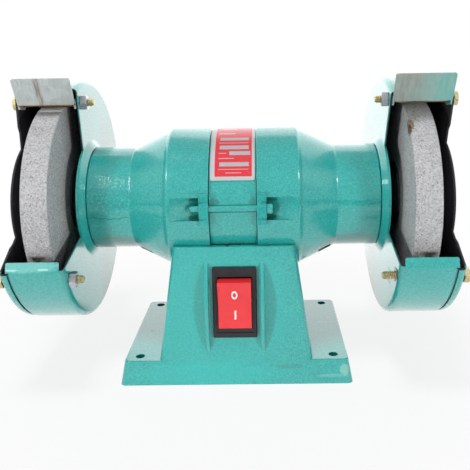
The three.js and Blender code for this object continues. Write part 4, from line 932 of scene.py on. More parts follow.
def makeBand(paint):
    size = motorSize
    low, high, bore, edge = bandLow.x, bandHigh.x, size["bandBore"], size["bandEdge"]
    band = spun("motorBand", filleted([(low, bore, 0), (low, bandRadius, edge), (high, bandRadius, edge), (high, bore, 0)], 3), 160)
    for angle in tieAngles:
        hole = rod("tieHole", tieSize["hole"], (0, shaftY - tieCircle, shaftZ), high - low + 2 * mm, sides=32)
        cut(band, roundShaft(hole, angle))
    for y, radius in ((-15 * mm, 3.2 * mm), (0, 5 * mm), (15 * mm, 3.2 * mm)):
        cut(band, rod("boltHole", radius, (0, shaftY + y, shaftZ - bandRadius + 2 * mm), 20 * mm, "Z", 32))
    return finished(band, "frame", paint, ["stator_housing"], 30)


makeBand(enamel("bandEnamel", [
    # Darker underneath: painted shade with some grime. Then painted shadows of the two front lugs falling on the band
    # above the tie bolt.
    ((0, shaftY - 0.040, shaftZ - 0.033), (0.030, 0.014, 0.013), (0.045, 0.17, 0.155), 0.5),
    ((-0.0135, shaftY - 0.051, shaftZ + 0.0070), (0.0050, 0.006, 0.0035), (0.01, 0.15, 0.13), 0.55),
    ((0.0145, shaftY - 0.051, shaftZ + 0.0070), (0.0035, 0.006, 0.0035), (0.01, 0.15, 0.13), 0.45)]))


def makeNameplate(material):
    size = {"from": 24.5, "to": 93.0, "inner": bandRadius + 0.3 * mm, "outer": plateHigh.z - shaftZ, "corner": 0.8 * mm}
    low, high = plateLow.x, plateHigh.x
    sweep = radians(size["to"] - size["from"])
    plate = spun("nameplate", [(low, size["inner"]), (low, size["outer"]), (high, size["outer"]), (high, size["inner"])],
                 64, sweep, radians(size["from"]))
    editAll(plate)
    ends = [shaftY - cos(radians(size[end])) * size["outer"] for end in ("from", "to")]
    selectEdges(plate, lambda a, b: (a - b).length < 1.2 * mm and abs(abs(a.x) - high) < 0.01 * mm
                and abs(a.x - b.x) < 0.01 * mm and min(abs(a.y - end) for end in ends) < 0.7 * mm)
    bpy.ops.mesh.bevel(offset=size["corner"], segments=4, affect="EDGES")
    settle(plate)
    softEdges(plate, 0.12 * mm, 50, 2)
    return finished(plate, "frame", material, ["nameplate"], 40)


makeNameplate(printedPlate("nameplatePrint"))
print("tie bolts, band and nameplate ready")


# ---- Switch ----

def makeSwitchBody(material):
    size = switchSize
    front = switchAt.y - 0.3 * mm - size["bezel"]
    back = switchAt.y + size["depth"]
    bezel = block("switchBezel", (-size["bezelHalfX"], front, switchZ - size["bezelHalfZ"]),
                  (size["bezelHalfX"], front + size["bezel"], switchZ + size["bezelHalfZ"]), 0.9 * mm, 4)
    body = block("body", (-size["bodyHalfX"], front + mm, switchZ - size["bodyHalfZ"]),
                 (size["bodyHalfX"], back, switchZ + size["bodyHalfZ"]), 0.4 * mm, 2)
    joined(bezel, body)
    for height in (-12 * mm, 0, 12 * mm):
        joined(bezel, block("terminal", (-3 * mm, back - mm, switchZ + height - 0.4 * mm),
                            (3 * mm, back + 8 * mm, switchZ + height + 0.4 * mm), 0.15 * mm, 1))
    pocket = block("pocket", (-size["rockerHalfX"] - size["gap"], front - mm, switchZ - size["rockerHalfZ"] - size["endGap"]),
                   (size["rockerHalfX"] + size["gap"], switchAt.y + size["pivot"] + size["back"] + 1.2 * mm,
                    switchZ + size["rockerHalfZ"] + size["endGap"]))
    pins = rod("pinHoles", 1.38 * mm, (0, switchAt.y + size["pivot"], switchZ), 2 * size["rockerHalfX"] + 3 * mm, sides=24)
    recess = block("recess", (-size["rockerHalfX"] - 1.5 * mm, front - mm, switchZ - size["rockerHalfZ"] - 4.6 * mm),
                   (size["rockerHalfX"] + 1.5 * mm, front + 0.7 * mm, switchZ + size["rockerHalfZ"] + 4.6 * mm))
    cut(bezel, pocket, pins, recess)
    softEdges(bezel, 0.18 * mm, 50, 2)
    turnedAbout(bezel, faceTilt, switchAt)
    return finished(bezel, "frame", material, ["switch_body"], 35)


def makeRocker(material):
    size = switchSize
    half, rise = size["rockerHalfZ"], size["rockerHalfZ"] * tan(size["tilt"])
    pivot = switchAt + Vector((0, size["pivot"], 0))
    front = -size["crease"]
    corners = [(front, 0), (front - rise, -half), (0, -half), (size["back"] * 0.6, -half * 0.8), (size["back"], -half * 0.4),
               (size["back"], half * 0.4), (size["back"] * 0.6, half * 0.8), (0, half), (front - rise, half)]
    rocker = prism("switchRocker", [(pivot.y + y, pivot.z + z) for y, z in corners], -size["rockerHalfX"], size["rockerHalfX"])
    softEdges(rocker, 0.7 * mm, 40, 4)
    joined(rocker, rod("pins", 1.3 * mm, pivot, 2 * size["rockerHalfX"] + 2.4 * mm, sides=24))
    turnedAbout(rocker, -size["tilt"], pivot)
    turnedAbout(rocker, faceTilt, switchAt)
    return finished(rocker, "rocker", material, ["switch_rocker"], 35)


markLook = {
    "white": (0.95, 0.80, 0.78), "ring": (0, 7.2 * mm), "ringHalf": (1.75 * mm, 2.75 * mm), "stroke": 0.62 * mm,
    "bar": (0.4 * mm, -8.9 * mm), "barHalf": (0.62 * mm, 3.6 * mm),
}


def rockerPlastic(name, colour):
    """Glossy red plastic with a printed ring above the crease and a bar below it."""
    look = markLook
    material, tree, shader, place = newFinish(name, {"Roughness": 0.24, "Specular IOR Level": 0.5, "Coat Weight": 0.3})
    parts = addNode(tree, "ShaderNodeSeparateXYZ", {0: place})
    across, depth = parts.outputs[0], parts.outputs[1]
    up = sums(tree, "SUBTRACT", parts.outputs[2], switchZ)

    def square(value, centre, half):
        share = sums(tree, "DIVIDE", sums(tree, "SUBTRACT", value, centre), half)
        return sums(tree, "MULTIPLY", share, share)

    far = sums(tree, "SQRT", sums(tree, "ADD", square(across, look["ring"][0], look["ringHalf"][0]),
                                  square(up, look["ring"][1], look["ringHalf"][1])))
    off = sums(tree, "ABSOLUTE", sums(tree, "SUBTRACT", far, 1.0))
    edge = look["stroke"] / (look["ringHalf"][0] + look["ringHalf"][1])
    ring = ramp(tree, off, edge * 1.7, edge * 2.1, 1.0, 0.0)
    wobble = sums(tree, "MULTIPLY_ADD", lumps(tree, place, 2.2 * mm, 1), 1.0 * mm, -0.5 * mm)
    side = sums(tree, "ABSOLUTE", sums(tree, "SUBTRACT", sums(tree, "ADD", across, wobble), look["bar"][0]))
    height = sums(tree, "ABSOLUTE", sums(tree, "SUBTRACT", up, look["bar"][1]))
    bar = sums(tree, "MULTIPLY", ramp(tree, side, look["barHalf"][0], look["barHalf"][0] + 0.15 * mm, 1.0, 0.0),
               ramp(tree, height, look["barHalf"][1] - 0.5 * mm, look["barHalf"][1], 1.0, 0.0))
    ahead = ramp(tree, depth, switchAt.y - 1.5 * mm, switchAt.y - mm, 1.0, 0.0)
    printed = sums(tree, "MULTIPLY", sums(tree, "MAXIMUM", ring, bar), ahead)
    cloud = lumps(tree, place, 5 * mm, 3)
    tint = blend(tree, ramp(tree, cloud, 0.35, 0.75, 0.0, 0.5), colour, [c * 0.86 for c in colour])
    tree.links.new(blend(tree, printed, tint, look["white"]), shader.inputs["Base Color"])
    giveRelief(tree, shader, lumps(tree, place, 0.6 * mm, 2), 0.01 * mm, 0.5)
    return material


makeSwitchBody(moulded("blackPlastic", (0.012, 0.011, 0.014), 0.38))
makeRocker(rockerPlastic("redPlastic", (0.80, 0.028, 0.036)))
print("switch ready")


# ---- Guards ----

guardSize = {
    "sheet": 1.5 * mm, "corner": 4 * mm, "hole": 14 * mm, "bossFace": 40.9 * mm, "boss": 45.7 * mm, "bossFillet": 2.4 * mm,
    "discFace": 113.9 * mm, "drumEnd": 152.2 * mm, "rimGap": 2 * mm, "rimStep": 0.5 * mm, "spigot": 4 * mm,
    "edge": 0.28 * mm, "panel": 62 * mm, "panelDepth": 0.8 * mm, "panelWidth": 4 * mm,
}
mouthSize = {  # the rim's corner by side, then each sheet's arc: forward, radius, top and low angles, lower slope
    "rim": {"right": 64.6, "left": 73.0}, "pan": (0.0, 46.1 * mm, 63.5, -26.5, 12.86), "cover": (8 * mm, 47.7 * mm, 66.8, -21.0, 28.5),
    "lip": 6.2 * mm, "lipLean": 19.0, "lipInset": 3.5 * mm, "lipOver": 1.8 * mm,
}
boltSize = {
    "radius": 2.9 * mm, "hole": 3.2 * mm, "across": 10 * mm, "head": 4 * mm, "nut": 5 * mm, "tail": 4.6 * mm,
    "pitch": 1.25 * mm, "gap": 0.1 * mm,
}
boltSpots = {"upper": {"right": (10 * mm, 69.1), "left": (13.3 * mm, 76.9)}, "lower": (7.2 * mm, -29.0), "rear": (7.2 * mm, 165.0)}
screwSize = {"circle": 30 * mm, "radius": 2 * mm, "hole": 2.3 * mm, "head": 4 * mm, "height": 2.6 * mm, "reach": 4.2 * mm}
drumBore = guardRadius - guardSize["sheet"]


def boltSpot(which, side):
    spot = boltSpots[which]
    inset, angle = spot[side] if which == "upper" else spot
    return guardRadius - inset, angle


def boltPlace(which, side):
    circle, angle = boltSpot(which, side)
    return spoke(angle, circle)


def mouth(side, sheet):
    forward, radius, top, low, slope = mouthSize[sheet]
    reach = 1.6 * guardRadius
    arc = []
    for step in range(49):
        place = spoke(low + (top - low) * step / 48, radius)
        arc.append((place.y - forward, place.z))
    rim = spoke(mouthSize["rim"][side], guardRadius)
    inner, outer = arc[-1], arc[0]
    stretch = reach / (rim.z - inner[1])
    outline = [(inner[0] + (rim.y - inner[0]) * stretch, inner[1] + reach), (shaftY - reach, inner[1] + reach),
               (shaftY - reach, outer[1] - (reach + outer[0] - shaftY) * tan(radians(slope)))]
    return prism("mouth", outline + arc, guardSize["hole"], 2 * coverHigh.x)


def lipStrip():
    size, (forward, radius, top, low, pitch) = mouthSize, mouthSize["pan"]
    corner = spoke(low, radius) - Vector((0, shaftY, shaftZ))
    slope = tan(radians(pitch))
    crossing = corner.z - corner.y * slope
    steep = 1 + slope ** 2
    edgeY = -(crossing * slope + sqrt(guardRadius ** 2 * steep - crossing ** 2)) / steep
    lean = Vector((sin(radians(size["lipLean"])), cos(radians(size["lipLean"]))))
    thick = Vector((lean.y, -lean.x)) * guardSize["sheet"]
    edge = Vector((edgeY + shaftY, crossing + edgeY * slope + shaftZ))
    foot, head = edge - lean * mm, edge + lean * size["lip"]
    fromX, toX = guardSize["discFace"] + size["lipInset"], guardSize["drumEnd"] + size["lipOver"]
    strip = prism("lipStrip", [foot[:], (foot + thick)[:], (head + thick)[:], head[:]], fromX, toX)
    editAll(strip)
    selectEdges(strip, lambda a, b: abs(a.x - b.x) < 0.1 * mm and min(a.z, b.z) > head.y - 0.7 * mm)
    bpy.ops.mesh.bevel(offset=1.4 * mm, segments=4, affect="EDGES")
    return settle(strip)


def makePan(side, paint):
    size = guardSize
    face, end, sheet = size["discFace"], size["drumEnd"], size["sheet"]
    pan = spun("rightGuardPan", filleted([
        (panLow.x, size["hole"], 0), (panLow.x, size["bossFace"], 0.6 * mm), (face, size["boss"], size["bossFillet"]),
        (face, guardRadius, size["corner"]), (end, guardRadius, 0.4 * mm), (end, drumBore, 0.4 * mm),
        (face + sheet, drumBore, size["corner"] - sheet), (face + sheet, size["boss"], size["bossFillet"]),
        (panLow.x + sheet, size["bossFace"], 0.6 * mm), (panLow.x + sheet, size["hole"], 0)]), 144)
    cut(pan, mouth(side, "pan"))
    for which in boltSpots:
        cut(pan, rod("boltHole", boltSize["hole"], boltPlace(which, side) + Vector((face, 0, 0)), 12 * mm, sides=32))
    for angle in (90, 210, 330):
        cut(pan, rod("screwHole", screwSize["hole"], spoke(angle, screwSize["circle"]) + Vector((face, 0, 0)), 16 * mm, sides=24))
    joined(pan, lipStrip())
    softEdges(onSide(pan, side), size["edge"], 50, 2)
    return finished(pan, "frame", paint, [side + "_guard_pan"], 32)


def makeCover(side, paint):
    size = guardSize
    outer, start, sheet = coverHigh.x, size["drumEnd"] + size["rimGap"], size["sheet"]
    rim = guardRadius - size["rimStep"]
    spigot = drumBore - 0.3 * mm
    panel, depth, width = size["panel"], size["panelDepth"], size["panelWidth"]
    inside, back = outer - sheet, size["drumEnd"] - size["spigot"]
    cover = spun("rightGuardCover", filleted([
        (outer - depth, 0, 0), (outer - depth, panel, 3 * mm), (outer, panel + width, 3 * mm),
        (outer, rim, size["corner"]), (start, rim, 0.6 * mm), (start, spigot, 0), (back, spigot, 0),
        (back, spigot - sheet, 0), (start + sheet, spigot - sheet, 0), (start + sheet + 0.4 * mm, rim - sheet, 0),
        (inside, rim - sheet, size["corner"] - sheet), (inside, panel + width, 3 * mm),
        (inside - depth, panel, 3 * mm), (inside - depth, 0, 0)]), 144)
    cut(cover, mouth(side, "cover"))
    for which in boltSpots:
        cut(cover, rod("boltHole", boltSize["hole"], boltPlace(which, side) + Vector((outer, 0, 0)), 12 * mm, sides=32))
    softEdges(onSide(cover, side), size["edge"], 50, 2)
    return finished(cover, "frame", paint, [side + "_guard_cover"], 32)


panMarks = {
    # The first three left marks make the lip lighter: partly a painted reflection of the light on its upward face,
    # partly lighter brushed paint with pale blobs.
    "left": [((-0.141, shaftY - 0.0862, shaftZ - 0.0280), (0.030, 0.005, 0.0048), (0.20, 0.52, 0.49), 0.7),
             ((-0.128, shaftY - 0.0870, shaftZ - 0.0300), (0.005, 0.003, 0.0009), (0.45, 0.80, 0.76), 0.6),
             ((-0.150, shaftY - 0.0870, shaftZ - 0.0302), (0.006, 0.003, 0.0008), (0.45, 0.80, 0.76), 0.6),
             # Dark line by the upper bolt: painted shade of a fold in the sheet.
             ((-0.1142, shaftY - 0.0269, shaftZ + 0.0859), (0.002, 0.0070, 0.0018), (0.01, 0.16, 0.14), 0.8)],
    # Dark line by the upper bolt: painted shade of a fold in the sheet.
    "right": [((0.1142, shaftY - 0.0411, shaftZ + 0.0852), (0.002, 0.0060, 0.0018), (0.01, 0.16, 0.14), 0.8)],
}
for side, way in (("right", 1), ("left", -1)):
    makePan(side, enamel(side + "PanEnamel", panMarks[side],
                         inside=(way, guardSize["discFace"] + guardSize["sheet"] / 2, 1.0)))
    makeCover(side, enamel(side + "CoverEnamel", inside=(way, 0.0, coverHigh.x - 1.1 * mm, True)))
print("guards ready")


# ---- Guard bolts, nuts and screws ----

def makeGuardBolt(side, material, which):
    size, place = boltSize, boltPlace(which, side)
    headFrom = coverHigh.x + size["gap"]
    tail = guardSize["discFace"] - size["gap"] - size["nut"] - size["tail"]
    bolt = threadedRod(f"right{which.title()}Bolt", size["radius"], tail, headFrom + mm, place, tail + 16 * mm, size["pitch"])
    joined(bolt, chamferedHex("boltHead", size["across"], headFrom, headFrom + size["head"], place, False, True))
    softEdges(onSide(bolt, side), 0.12 * mm, 30, 1)
    return finished(bolt, "frame", material, [f"{side}_{which}_guard_bolt"], 30)


def makeGuardNut(side, material, which):
    size, place = boltSize, boltPlace(which, side)
    face = guardSize["discFace"] - size["gap"]
    nut = chamferedHex(f"right{which.title()}Nut", size["across"], face - size["nut"], face, place)
    cut(nut, rod("nutHole", size["radius"] + 0.08 * mm, (face, place.y, place.z), 20 * mm, sides=32))
    softEdges(onSide(nut, side), 0.2 * mm, 30, 2)
    return finished(nut, "frame", material, [f"{side}_{which}_guard_nut"], 30)


yellowZinc = plated("yellowZinc", (0.62, 0.53, 0.30), 0.32, (0.20, 0.16, 0.07), 1.6 * mm)
zinc = plated("zincPlate", (0.56, 0.56, 0.60), 0.30, (0.24, 0.22, 0.24), 2.0 * mm)
for side in ("right", "left"):
    for which in boltSpots:
        makeGuardBolt(side, yellowZinc, which)
        makeGuardNut(side, zinc, which)


def makeGuardScrew(material, number, angle):
    size = screwSize
    place = spoke(angle, size["circle"])
    under = panLow.x + guardSize["sheet"] + 0.1 * mm
    top = under + size["height"]
    start = bellHigh.x - size["reach"]
    screw = threadedRod(f"rightGuardScrew{number}", size["radius"], start, under + 0.8 * mm, place, under - 2 * mm, 0.7 * mm, 20)
    head = spun("head", filleted([(under, 0, 0), (under, size["head"], 0.3 * mm), (top, size["head"], 1.3 * mm),
                                  (top, 0, 0)], 4), 32, centre=(0, place.y, place.z))
    for turn in (0, pi / 2):
        slot = block("slot", (top - 1.2 * mm, place.y - 2.3 * mm, place.z - 0.45 * mm),
                     (top + mm, place.y + 2.3 * mm, place.z + 0.45 * mm))
        cut(head, turnedAbout(slot, turn + 0.3, place))
    joined(screw, head)
    return finished(screw, "frame", material, [f"right_guard_screw_{number}"], 30)


for number, angle in enumerate((90, 210, 330), 1):
    bothSides(makeGuardScrew(zinc, number, angle), "frame", [f"left_guard_screw_{number}"])
print("guard fasteners ready")


# ---- Wheels, flanges, nuts and shaft ----

rotorSize = {
    "arbor": 6.35 * mm, "bore": 6.43 * mm, "journal": 7.5 * mm, "shaft": 8.5 * mm, "core": 9.5 * mm, "coreHalf": 23.5 * mm,
    "wheelEdge": 0.9 * mm, "flange": 26 * mm, "hub": 12 * mm, "inner": 5.6 * mm, "outer": 4.8 * mm, "rim": 1.5 * mm,
    "recess": 1 * mm, "contact": 6 * mm, "nutAcross": 19 * mm, "nut": 6 * mm, "pitch": 1.5 * mm, "gap": 0.1 * mm,
}


def makeWheel(material):
    size = rotorSize
    low, high, edge = wheelLow.x, wheelHigh.x, size["wheelEdge"]
    wheel = spun("rightWheel", filleted([(low, size["bore"], 0), (low, wheelRadius, edge), (high, wheelRadius, edge),
                                         (high, size["bore"], 0)], 3), 160)
    return finished(wheel, "rotor", material, ["right_grinding_wheel"], 30)


def makeFlange(material, name, node, length, face, way):
    size = rotorSize
    rows = [(size["recess"], size["bore"], 0), (size["recess"], size["flange"] - size["contact"], 0),
            (0, size["flange"] - size["contact"], 0), (0, size["flange"], 0), (size["rim"], size["flange"], 0.5 * mm),
            (length - mm, size["hub"] + 4 * mm, 2 * mm), (length, size["hub"], 0.4 * mm), (length, size["bore"], 0)]
    flange = spun(name, filleted([(face + way * away, radius, fillet) for away, radius, fillet in rows]), 96)
    return finished(flange, "rotor", material, [node], 32)


def makeShaft(material):
    size = rotorSize
    bearingLow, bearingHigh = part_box("right_bearing")
    nutLow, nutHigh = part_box("right_arbor_nut")
    flangeLow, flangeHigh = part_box("right_inner_flange")
    gap, arbor, end = size["gap"], size["arbor"], shaftHigh.x
    half = [(size["coreHalf"], size["core"]), (size["coreHalf"] + 0.4 * mm, size["shaft"]),
            (bearingLow.x - gap, size["shaft"]), (bearingLow.x - gap, size["journal"]),
            (flangeLow.x - gap, size["journal"]), (flangeLow.x - gap, arbor), (nutLow.x, arbor)]
    pitch = size["pitch"]
    for ridge in range(int((end - mm - nutLow.x) / pitch)):
        start = nutLow.x + (ridge + 0.4) * pitch
        half += [(start, arbor - 0.7 * mm), (start + 0.4 * pitch, arbor), (start + 0.55 * pitch, arbor)]
    half += [(end - 0.9 * mm, arbor - 0.3 * mm), (end, arbor - 1.2 * mm), (end, 0)]
    shaft = spun("rotorShaft", [(-x, radius) for x, radius in reversed(half)] + half, 64)
    return finished(shaft, "rotor", material, ["rotor_shaft"], 30)


def makeArborNut(material):
    size = rotorSize
    low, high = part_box("right_arbor_nut")
    nut = chamferedHex("rightArborNut", size["nutAcross"], low.x, high.x, (0, shaftY, shaftZ))
    cut(nut, rod("nutHole", size["bore"], (low.x, shaftY, shaftZ), 30 * mm, sides=48))
    softEdges(nut, 0.25 * mm, 30, 2)
    return finished(nut, "rotor", material, ["right_arbor_nut"], 30)


scorch = wheelLow.x + 1.5 * mm
wheel = makeWheel(grit("rightGrit", [
    ((scorch, shaftY - 0.0455, shaftZ + 0.0600), (0.0030, 0.0060, 0.0070), 1.6 * mm, (0.42, 0.33, 0.22), 0.9),
    ((scorch - 1 * mm, shaftY - 0.0490, shaftZ + 0.0570), (0.0013, 0.0050, 0.0060), 1.2 * mm, (0.22, 0.13, 0.07), 0.9),
    ((scorch + 1 * mm, shaftY - 0.0420, shaftZ + 0.0630), (0.0070, 0.0040, 0.0040), 3 * mm, (0.75, 0.70, 0.60), 0.7)]))
leftWheel = bothSides(wheel, "rotor", ["left_grinding_wheel"])
repaint(leftWheel, grit("leftGrit"))
ironBlack = blackened("blackIron")
gap = rotorSize["gap"]
for name, node, length, face, way in (("rightInnerFlange", "inner_flange", rotorSize["inner"], wheelLow.x - gap, -1),
                                      ("rightOuterFlange", "outer_flange", rotorSize["outer"], wheelHigh.x + gap, 1)):
    bothSides(makeFlange(ironBlack, name, f"right_{node}", length, face, way), "rotor", [f"left_{node}"])
makeShaft(turnedSteel("shaftSteel"))
bothSides(makeArborNut(zinc), "rotor", ["left_arbor_nut"])
print("wheels and shaft ready")


# ---- Spark deflectors ----

deflectorSize = {
    "thickness": 1.2 * mm, "gap": 0.3 * mm, "angle": 63.0, "ahead": 8.1 * mm, "root": 3.7 * mm, "length": 22 * mm,
    "grip": 1.8 * mm, "web": 3.3 * mm, "eye": 5 * mm, "corner": 1.6 * mm, "edge": 0.22 * mm,
}


def makeDeflector(side, material):
    size = deflectorSize
    circle, angle = boltSpot("upper", side)
    lag = radians(angle - size["angle"])
    eyeOut, eyeBack = circle * cos(lag), circle * sin(lag)
    inner = guardSize["discFace"] + guardSize["sheet"] + size["gap"]
    outer = coverHigh.x - guardSize["sheet"] - size["gap"]
    root, back = eyeOut + size["root"], eyeBack - size["ahead"]
    front = back - size["thickness"]
    plate = block("rightDeflector", (inner, shaftY + front, shaftZ + root),
                  (outer, shaftY + back, shaftZ + root + size["length"]))
    editAll(plate)
    selectEdges(plate, lambda a, b: abs(a.y - b.y) > 0.5 * mm and min(a.z, b.z) > shaftZ + root + mm)
    bpy.ops.mesh.bevel(offset=size["corner"], segments=5, affect="EDGES")
    settle(plate)
    ear = [(front, root + size["grip"]), (front, root - size["web"])]
    for step in range(19):
        turn = radians(160 + 10 * step)
        ear.append((eyeBack - size["eye"] * sin(turn), eyeOut + size["eye"] * cos(turn)))
    outline = [(shaftY + y, shaftZ + z) for y, z in ear]
    joined(plate, prism("ear", outline, inner, inner + size["thickness"]),
           prism("ear", outline, outer - size["thickness"], outer))
    cut(plate, rod("eye", boltSize["hole"], ((inner + outer) / 2, shaftY + eyeBack, shaftZ + eyeOut), 60 * mm, sides=32))
    softEdges(plate, size["edge"], 40, 2)
    turnedAbout(plate, radians(size["angle"] - 90), (0, shaftY, shaftZ))
    onSide(plate, side)
    return finished(plate, side + "_deflector", material, [side + "_spark_deflector"], 32)


makeDeflector("right", galvanised("rightGalvanised", (0.34, 0.42, 0.39), [
    ((0.122, shaftY - 0.044, shaftZ + 0.087), (0.026, 0.03, 0.03), (0.24, 0.23, 0.21), 0.55, 0.5),
    ((0.132, shaftY - 0.036, shaftZ + 0.093), (0.008, 0.012, 0.012), (0.26, 0.20, 0.18), 0.5, 0.7),
    ((0.158, shaftY - 0.044, shaftZ + 0.087), (0.032, 0.04, 0.04), (0.20, 0.41, 0.37), 0.65, 0.5),
    ((0.160, shaftY - 0.044, shaftZ + 0.087), (0.018, 0.04, 0.04), (0.10, 0.42, 0.38), 0.6, 0.5)]))
makeDeflector("left", galvanised("leftGalvanised", (0.47, 0.52, 0.51), [
    ((-0.1405, shaftY - 0.030, shaftZ + 0.088), (0.0030, 0.03, 0.03), (0.20, 0.13, 0.10), 0.7, 0.8)],
    (shaftZ + 0.0762, 0.9 * mm, (0.50, 0.24, 0.14))))
print("deflectors ready")


# ---- Underside and rear fittings ----

coverPlate = {"halfX": 66.6 * mm, "halfY": 50 * mm, "corner": 4 * mm, "screwX": 61.5 * mm, "screwY": 44 * mm,
              "hole": 1.8 * mm, "screw": 1.5 * mm, "head": 3.2 * mm, "height": 1.7 * mm, "length": 7 * mm}


def makeBottomCover(material):
    size = coverPlate
    low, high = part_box("bottom_cover")
    plate = block("bottomCover", (-size["halfX"], shaftY - size["halfY"], low.z),
                  (size["halfX"], shaftY + size["halfY"], high.z), size["corner"], 5, upright=True)
    for x, y in fourCorners(size["screwX"], size["screwY"]):
        cut(plate, rod("screwHole", size["hole"], (x, y, low.z), 10 * mm, "Z", 24))
    for x in (-36 * mm, -24 * mm, 24 * mm, 36 * mm):
        slot = block("slot", (x - 1.5 * mm, shaftY - 16 * mm, low.z - 0.45 * mm), (x + 1.5 * mm, shaftY + 16 * mm, low.z + 0.45 * mm),
                     0.4 * mm, 2)
        cut(plate, slot)
    softEdges(plate, 0.2 * mm, 40, 2)
    return finished(plate, "frame", material, ["bottom_cover"], 32)


def makeCoverScrew(material, number, x, y):
    size = coverPlate
    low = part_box("bottom_cover")[0].z
    under = low - 0.1 * mm
    foot = under - size["height"]
    place = Vector((0, y, 0))
    screw = threadedRod("screw", size["screw"], -(low + size["length"]), -under, place, -under - 2 * mm, 0.6 * mm, 20)
    head = spun("head", filleted([(-under, 0, 0), (-under, size["head"], 0.2 * mm), (-foot, size["head"], 0.9 * mm), (-foot, 0, 0)], 4),
                32, centre=place)
    for turn in (0.4, 0.4 + pi / 2):
        slot = block("slot", (-foot - 0.8 * mm, y - 1.9 * mm, -0.35 * mm), (-foot + mm, y + 1.9 * mm, 0.35 * mm))
        cut(head, turnedAbout(slot, turn, place))
    joined(screw, head)
    turnedAbout(screw, -pi / 2, place, "Y")
    moved(screw, (x, 0, 0))
    screw.name = f"bottomCoverScrew{number}"
    return finished(screw, "frame", material, [f"bottom_cover_screw_{number}"], 30)


makeBottomCover(turnedSteel("coverSteel", (0.48, 0.49, 0.50), 0.34))
for number, (sideX, sideY) in enumerate(((1, 1), (-1, 1), (-1, -1), (1, -1)), 1):
    makeCoverScrew(zinc, number, sideX * coverPlate["screwX"], shaftY + sideY * coverPlate["screwY"])


def makeGrommet(material):
    size = {"hole": 5.7 * mm, "flange": 8.6 * mm, "thick": 2.4 * mm, "bore": 3.6 * mm, "wall": 4.3 * mm, "gap": 0.3 * mm,
            "height": 34 * mm}
    place = Vector((0, shaftY + pedestalAt(size["height"])[1], size["height"]))
    gap, thick, wall = size["gap"], size["thick"], size["wall"]
    grommet = spun("cordGrommet", filleted([
        (gap + thick, size["bore"], 0.5 * mm), (gap + thick, size["flange"], 1.4 * mm), (gap, size["flange"], 0.3 * mm),
        (gap, size["hole"], 0), (-wall, size["hole"], 0), (-wall, size["flange"], 0.5 * mm),
        (-wall - thick, size["flange"], 0.8 * mm), (-wall - thick, size["bore"], 0.3 * mm)]), 48, centre=place)
    turnedAbout(grommet, -pi / 2, place, "Z")
    turnedAbout(grommet, -faceTilt, place)
    return finished(grommet, "frame", material, ["cord_grommet"], 32)


makeGrommet(moulded("blackRubber", (0.018, 0.018, 0.019), 0.6, 0.9 * mm, 0.03 * mm))
print("underside and rear fittings ready")


# ---- Finishes of the inner CAD pieces ----

coreSteel, copper = stacked("laminations"), wound("windingCopper")
inner = {
    "stator_core": coreSteel, "rotor_core": coreSteel, "left_winding": copper, "right_winding": copper,
    "left_bearing": turnedSteel("bearingSteel"), "right_bearing": turnedSteel("bearingSteel2"),
    "capacitor": moulded("capacitorShell", (0.62, 0.63, 0.62), 0.4), "capacitor_clip": zinc,
    "motor_bolt_1": zinc, "motor_bolt_2": zinc,
}
for node, material in inner.items():
    repaint(frame["nodes"][node], material)
print("inner pieces ready")


# ---- Floor, light and camera ----

floorLook = {"near": 0.84, "level": 1.0, "front": -0.57, "frontLevel": 0.04, "behind": 1.7}


def makeFloor():
    """A pale sheet that catches soft shadows near the object, is white further off and ends in front as a table does."""
    look = floorLook
    deselectAll()
    bpy.ops.mesh.primitive_plane_add(size=8, location=(0, 0, -0.0002))
    floor = settle(bpy.context.object)
    floor.name = "floor"
    material, tree, shader, place = newFinish("floorWhite", {"Base Color": (0.84, 0.85, 0.86, 1), "Roughness": 0.6,
                                                             "Specular IOR Level": 0.2})
    rays = addNode(tree, "ShaderNodeLightPath")
    depth = addNode(tree, "ShaderNodeSeparateXYZ", {0: place}).outputs[1]
    far = addNode(tree, "ShaderNodeVectorMath", {0: place}, operation="LENGTH").outputs["Value"]
    mirrored = blend(tree, ramp(tree, depth, look["front"] - 0.005, look["front"] + 0.005),
                     (look["frontLevel"],) * 3, (look["level"],) * 3)
    mirrored = blend(tree, ramp(tree, depth, 0.05, 0.35), mirrored, (look["behind"],) * 3)
    seen = blend(tree, rays.outputs["Is Glossy Ray"], (1, 1, 1), mirrored)
    glow = addNode(tree, "ShaderNodeEmission", {"Color": seen, "Strength": 1.0})
    white = ramp(tree, far, 0.13, 0.38, look["near"], 1.0)
    share = sums(tree, "MAXIMUM", sums(tree, "MULTIPLY", rays.outputs["Is Camera Ray"], white), rays.outputs["Is Glossy Ray"])
    mixed = addNode(tree, "ShaderNodeMixShader", {0: share, 1: shader.outputs[0], 2: glow.outputs[0]})
    tree.links.new(mixed.outputs[0], tree.nodes["Material Output"].inputs["Surface"])
    floor.data.materials.append(material)


makeFloor()

worldLook = {"ambient": 0.14, "front": 0.70, "back": 1.95, "roof": 0.6}


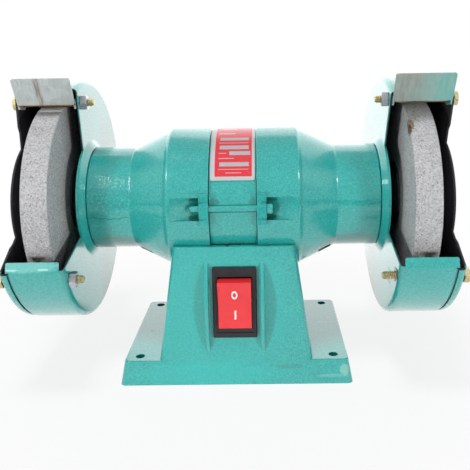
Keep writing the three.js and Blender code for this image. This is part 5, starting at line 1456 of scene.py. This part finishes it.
def makeWorld():
    """White to the camera. Reflections find a bright backdrop behind, a dimmer roof and a dim room in front."""
    look = worldLook
    world = bpy.data.worlds.new("studio")
    bpy.context.scene.world = world
    world.use_nodes = True
    tree = world.node_tree
    tree.nodes.clear()
    rays = addNode(tree, "ShaderNodeLightPath")
    way = addNode(tree, "ShaderNodeNewGeometry").outputs["Incoming"]
    parts = addNode(tree, "ShaderNodeSeparateXYZ", {0: way})
    up = sums(tree, "MULTIPLY", parts.outputs[2], -1.0)
    behind = ramp(tree, parts.outputs[1], -0.25, 0.05, 1.0, 0.0)
    roof = ramp(tree, up, 0.78, 0.86)
    shown = blend(tree, behind, (look["front"],) * 3, (look["back"],) * 3)
    shown = blend(tree, roof, shown, (look["roof"],) * 3)
    light = addNode(tree, "ShaderNodeBackground", {0: (1, 1, 1, 1), 1: look["ambient"]}).outputs[0]
    mirror = addNode(tree, "ShaderNodeBackground", {0: shown, 1: 1.0}).outputs[0]
    white = addNode(tree, "ShaderNodeBackground", {0: (1, 1, 1, 1), 1: 1.0}).outputs[0]
    lit = addNode(tree, "ShaderNodeMixShader", {0: rays.outputs["Is Glossy Ray"], 1: light, 2: mirror}).outputs[0]
    clear = sums(tree, "MAXIMUM", rays.outputs["Is Camera Ray"], rays.outputs["Is Transmission Ray"])
    last = addNode(tree, "ShaderNodeMixShader", {0: clear, 1: lit, 2: white}).outputs[0]
    output = addNode(tree, "ShaderNodeOutputWorld")
    tree.links.new(last, output.inputs["Surface"])


makeWorld()

lamps = {  # place, aimed at, size, watts, lights surfaces, seen in reflections
    "overheadLamp": ((-0.16, -0.34, 1.55), (0, 0, 0.12), 0.35, 13.0, True, False),
    "leftLamp": ((-0.95, -1.00, 0.14), (0, 0, 0.12), 0.16, 9.2, True, False),
    "rightLamp": ((0.95, -1.00, 0.14), (0, 0, 0.12), 0.16, 8.0, True, False),
    "rearLamp": ((0.2, 1.30, 0.80), (0, 0, 0.12), 0.9, 3.0, True, False),
    "leftGlint": ((-0.78, -0.62, 0.88), (0, 0, 0.12), 0.22, 4.5, False, True),
    "rightGlint": ((0.80, -0.64, 0.84), (0, 0, 0.12), 0.20, 3.0, False, True),
}
for name, (place, aim, size, watts, lighting, mirrored) in lamps.items():
    deselectAll()
    bpy.ops.object.light_add(type="AREA", location=place)
    lamp = bpy.context.object
    lamp.name = name
    lamp.data.size = size
    lamp.data.energy = watts
    lamp.visible_diffuse = lighting
    lamp.visible_glossy = mirrored
    lamp.rotation_euler = (Vector(aim) - Vector(place)).to_track_quat("-Z", "Y").to_euler()

cameraLook = {
    "lens": 48.03, "sensor": 36.0, "shift": (-0.0479, -0.1266), "place": (0.02319, -0.49302, 0.24526),
    "right": (0.99983, 0.00803, -0.01660), "forward": (-0.01112, 0.98059, -0.19577), "up": (0.01471, 0.19593, 0.98051),
}


def makeCamera():
    look = cameraLook
    deselectAll()
    bpy.ops.object.camera_add(location=look["place"])
    camera = bpy.context.object
    axes = Matrix((look["right"], look["up"], [-value for value in look["forward"]])).transposed()
    camera.rotation_mode = "QUATERNION"
    camera.rotation_quaternion = axes.to_quaternion()
    camera.data.sensor_width = look["sensor"]
    camera.data.lens = look["lens"]
    camera.data.shift_x, camera.data.shift_y = look["shift"]
    camera.data.clip_start = 0.01
    bpy.context.scene.camera = camera


makeCamera()
scene = bpy.context.scene
scene.view_settings.view_transform = "Standard"
scene.view_settings.look = "None"
print("stage ready")
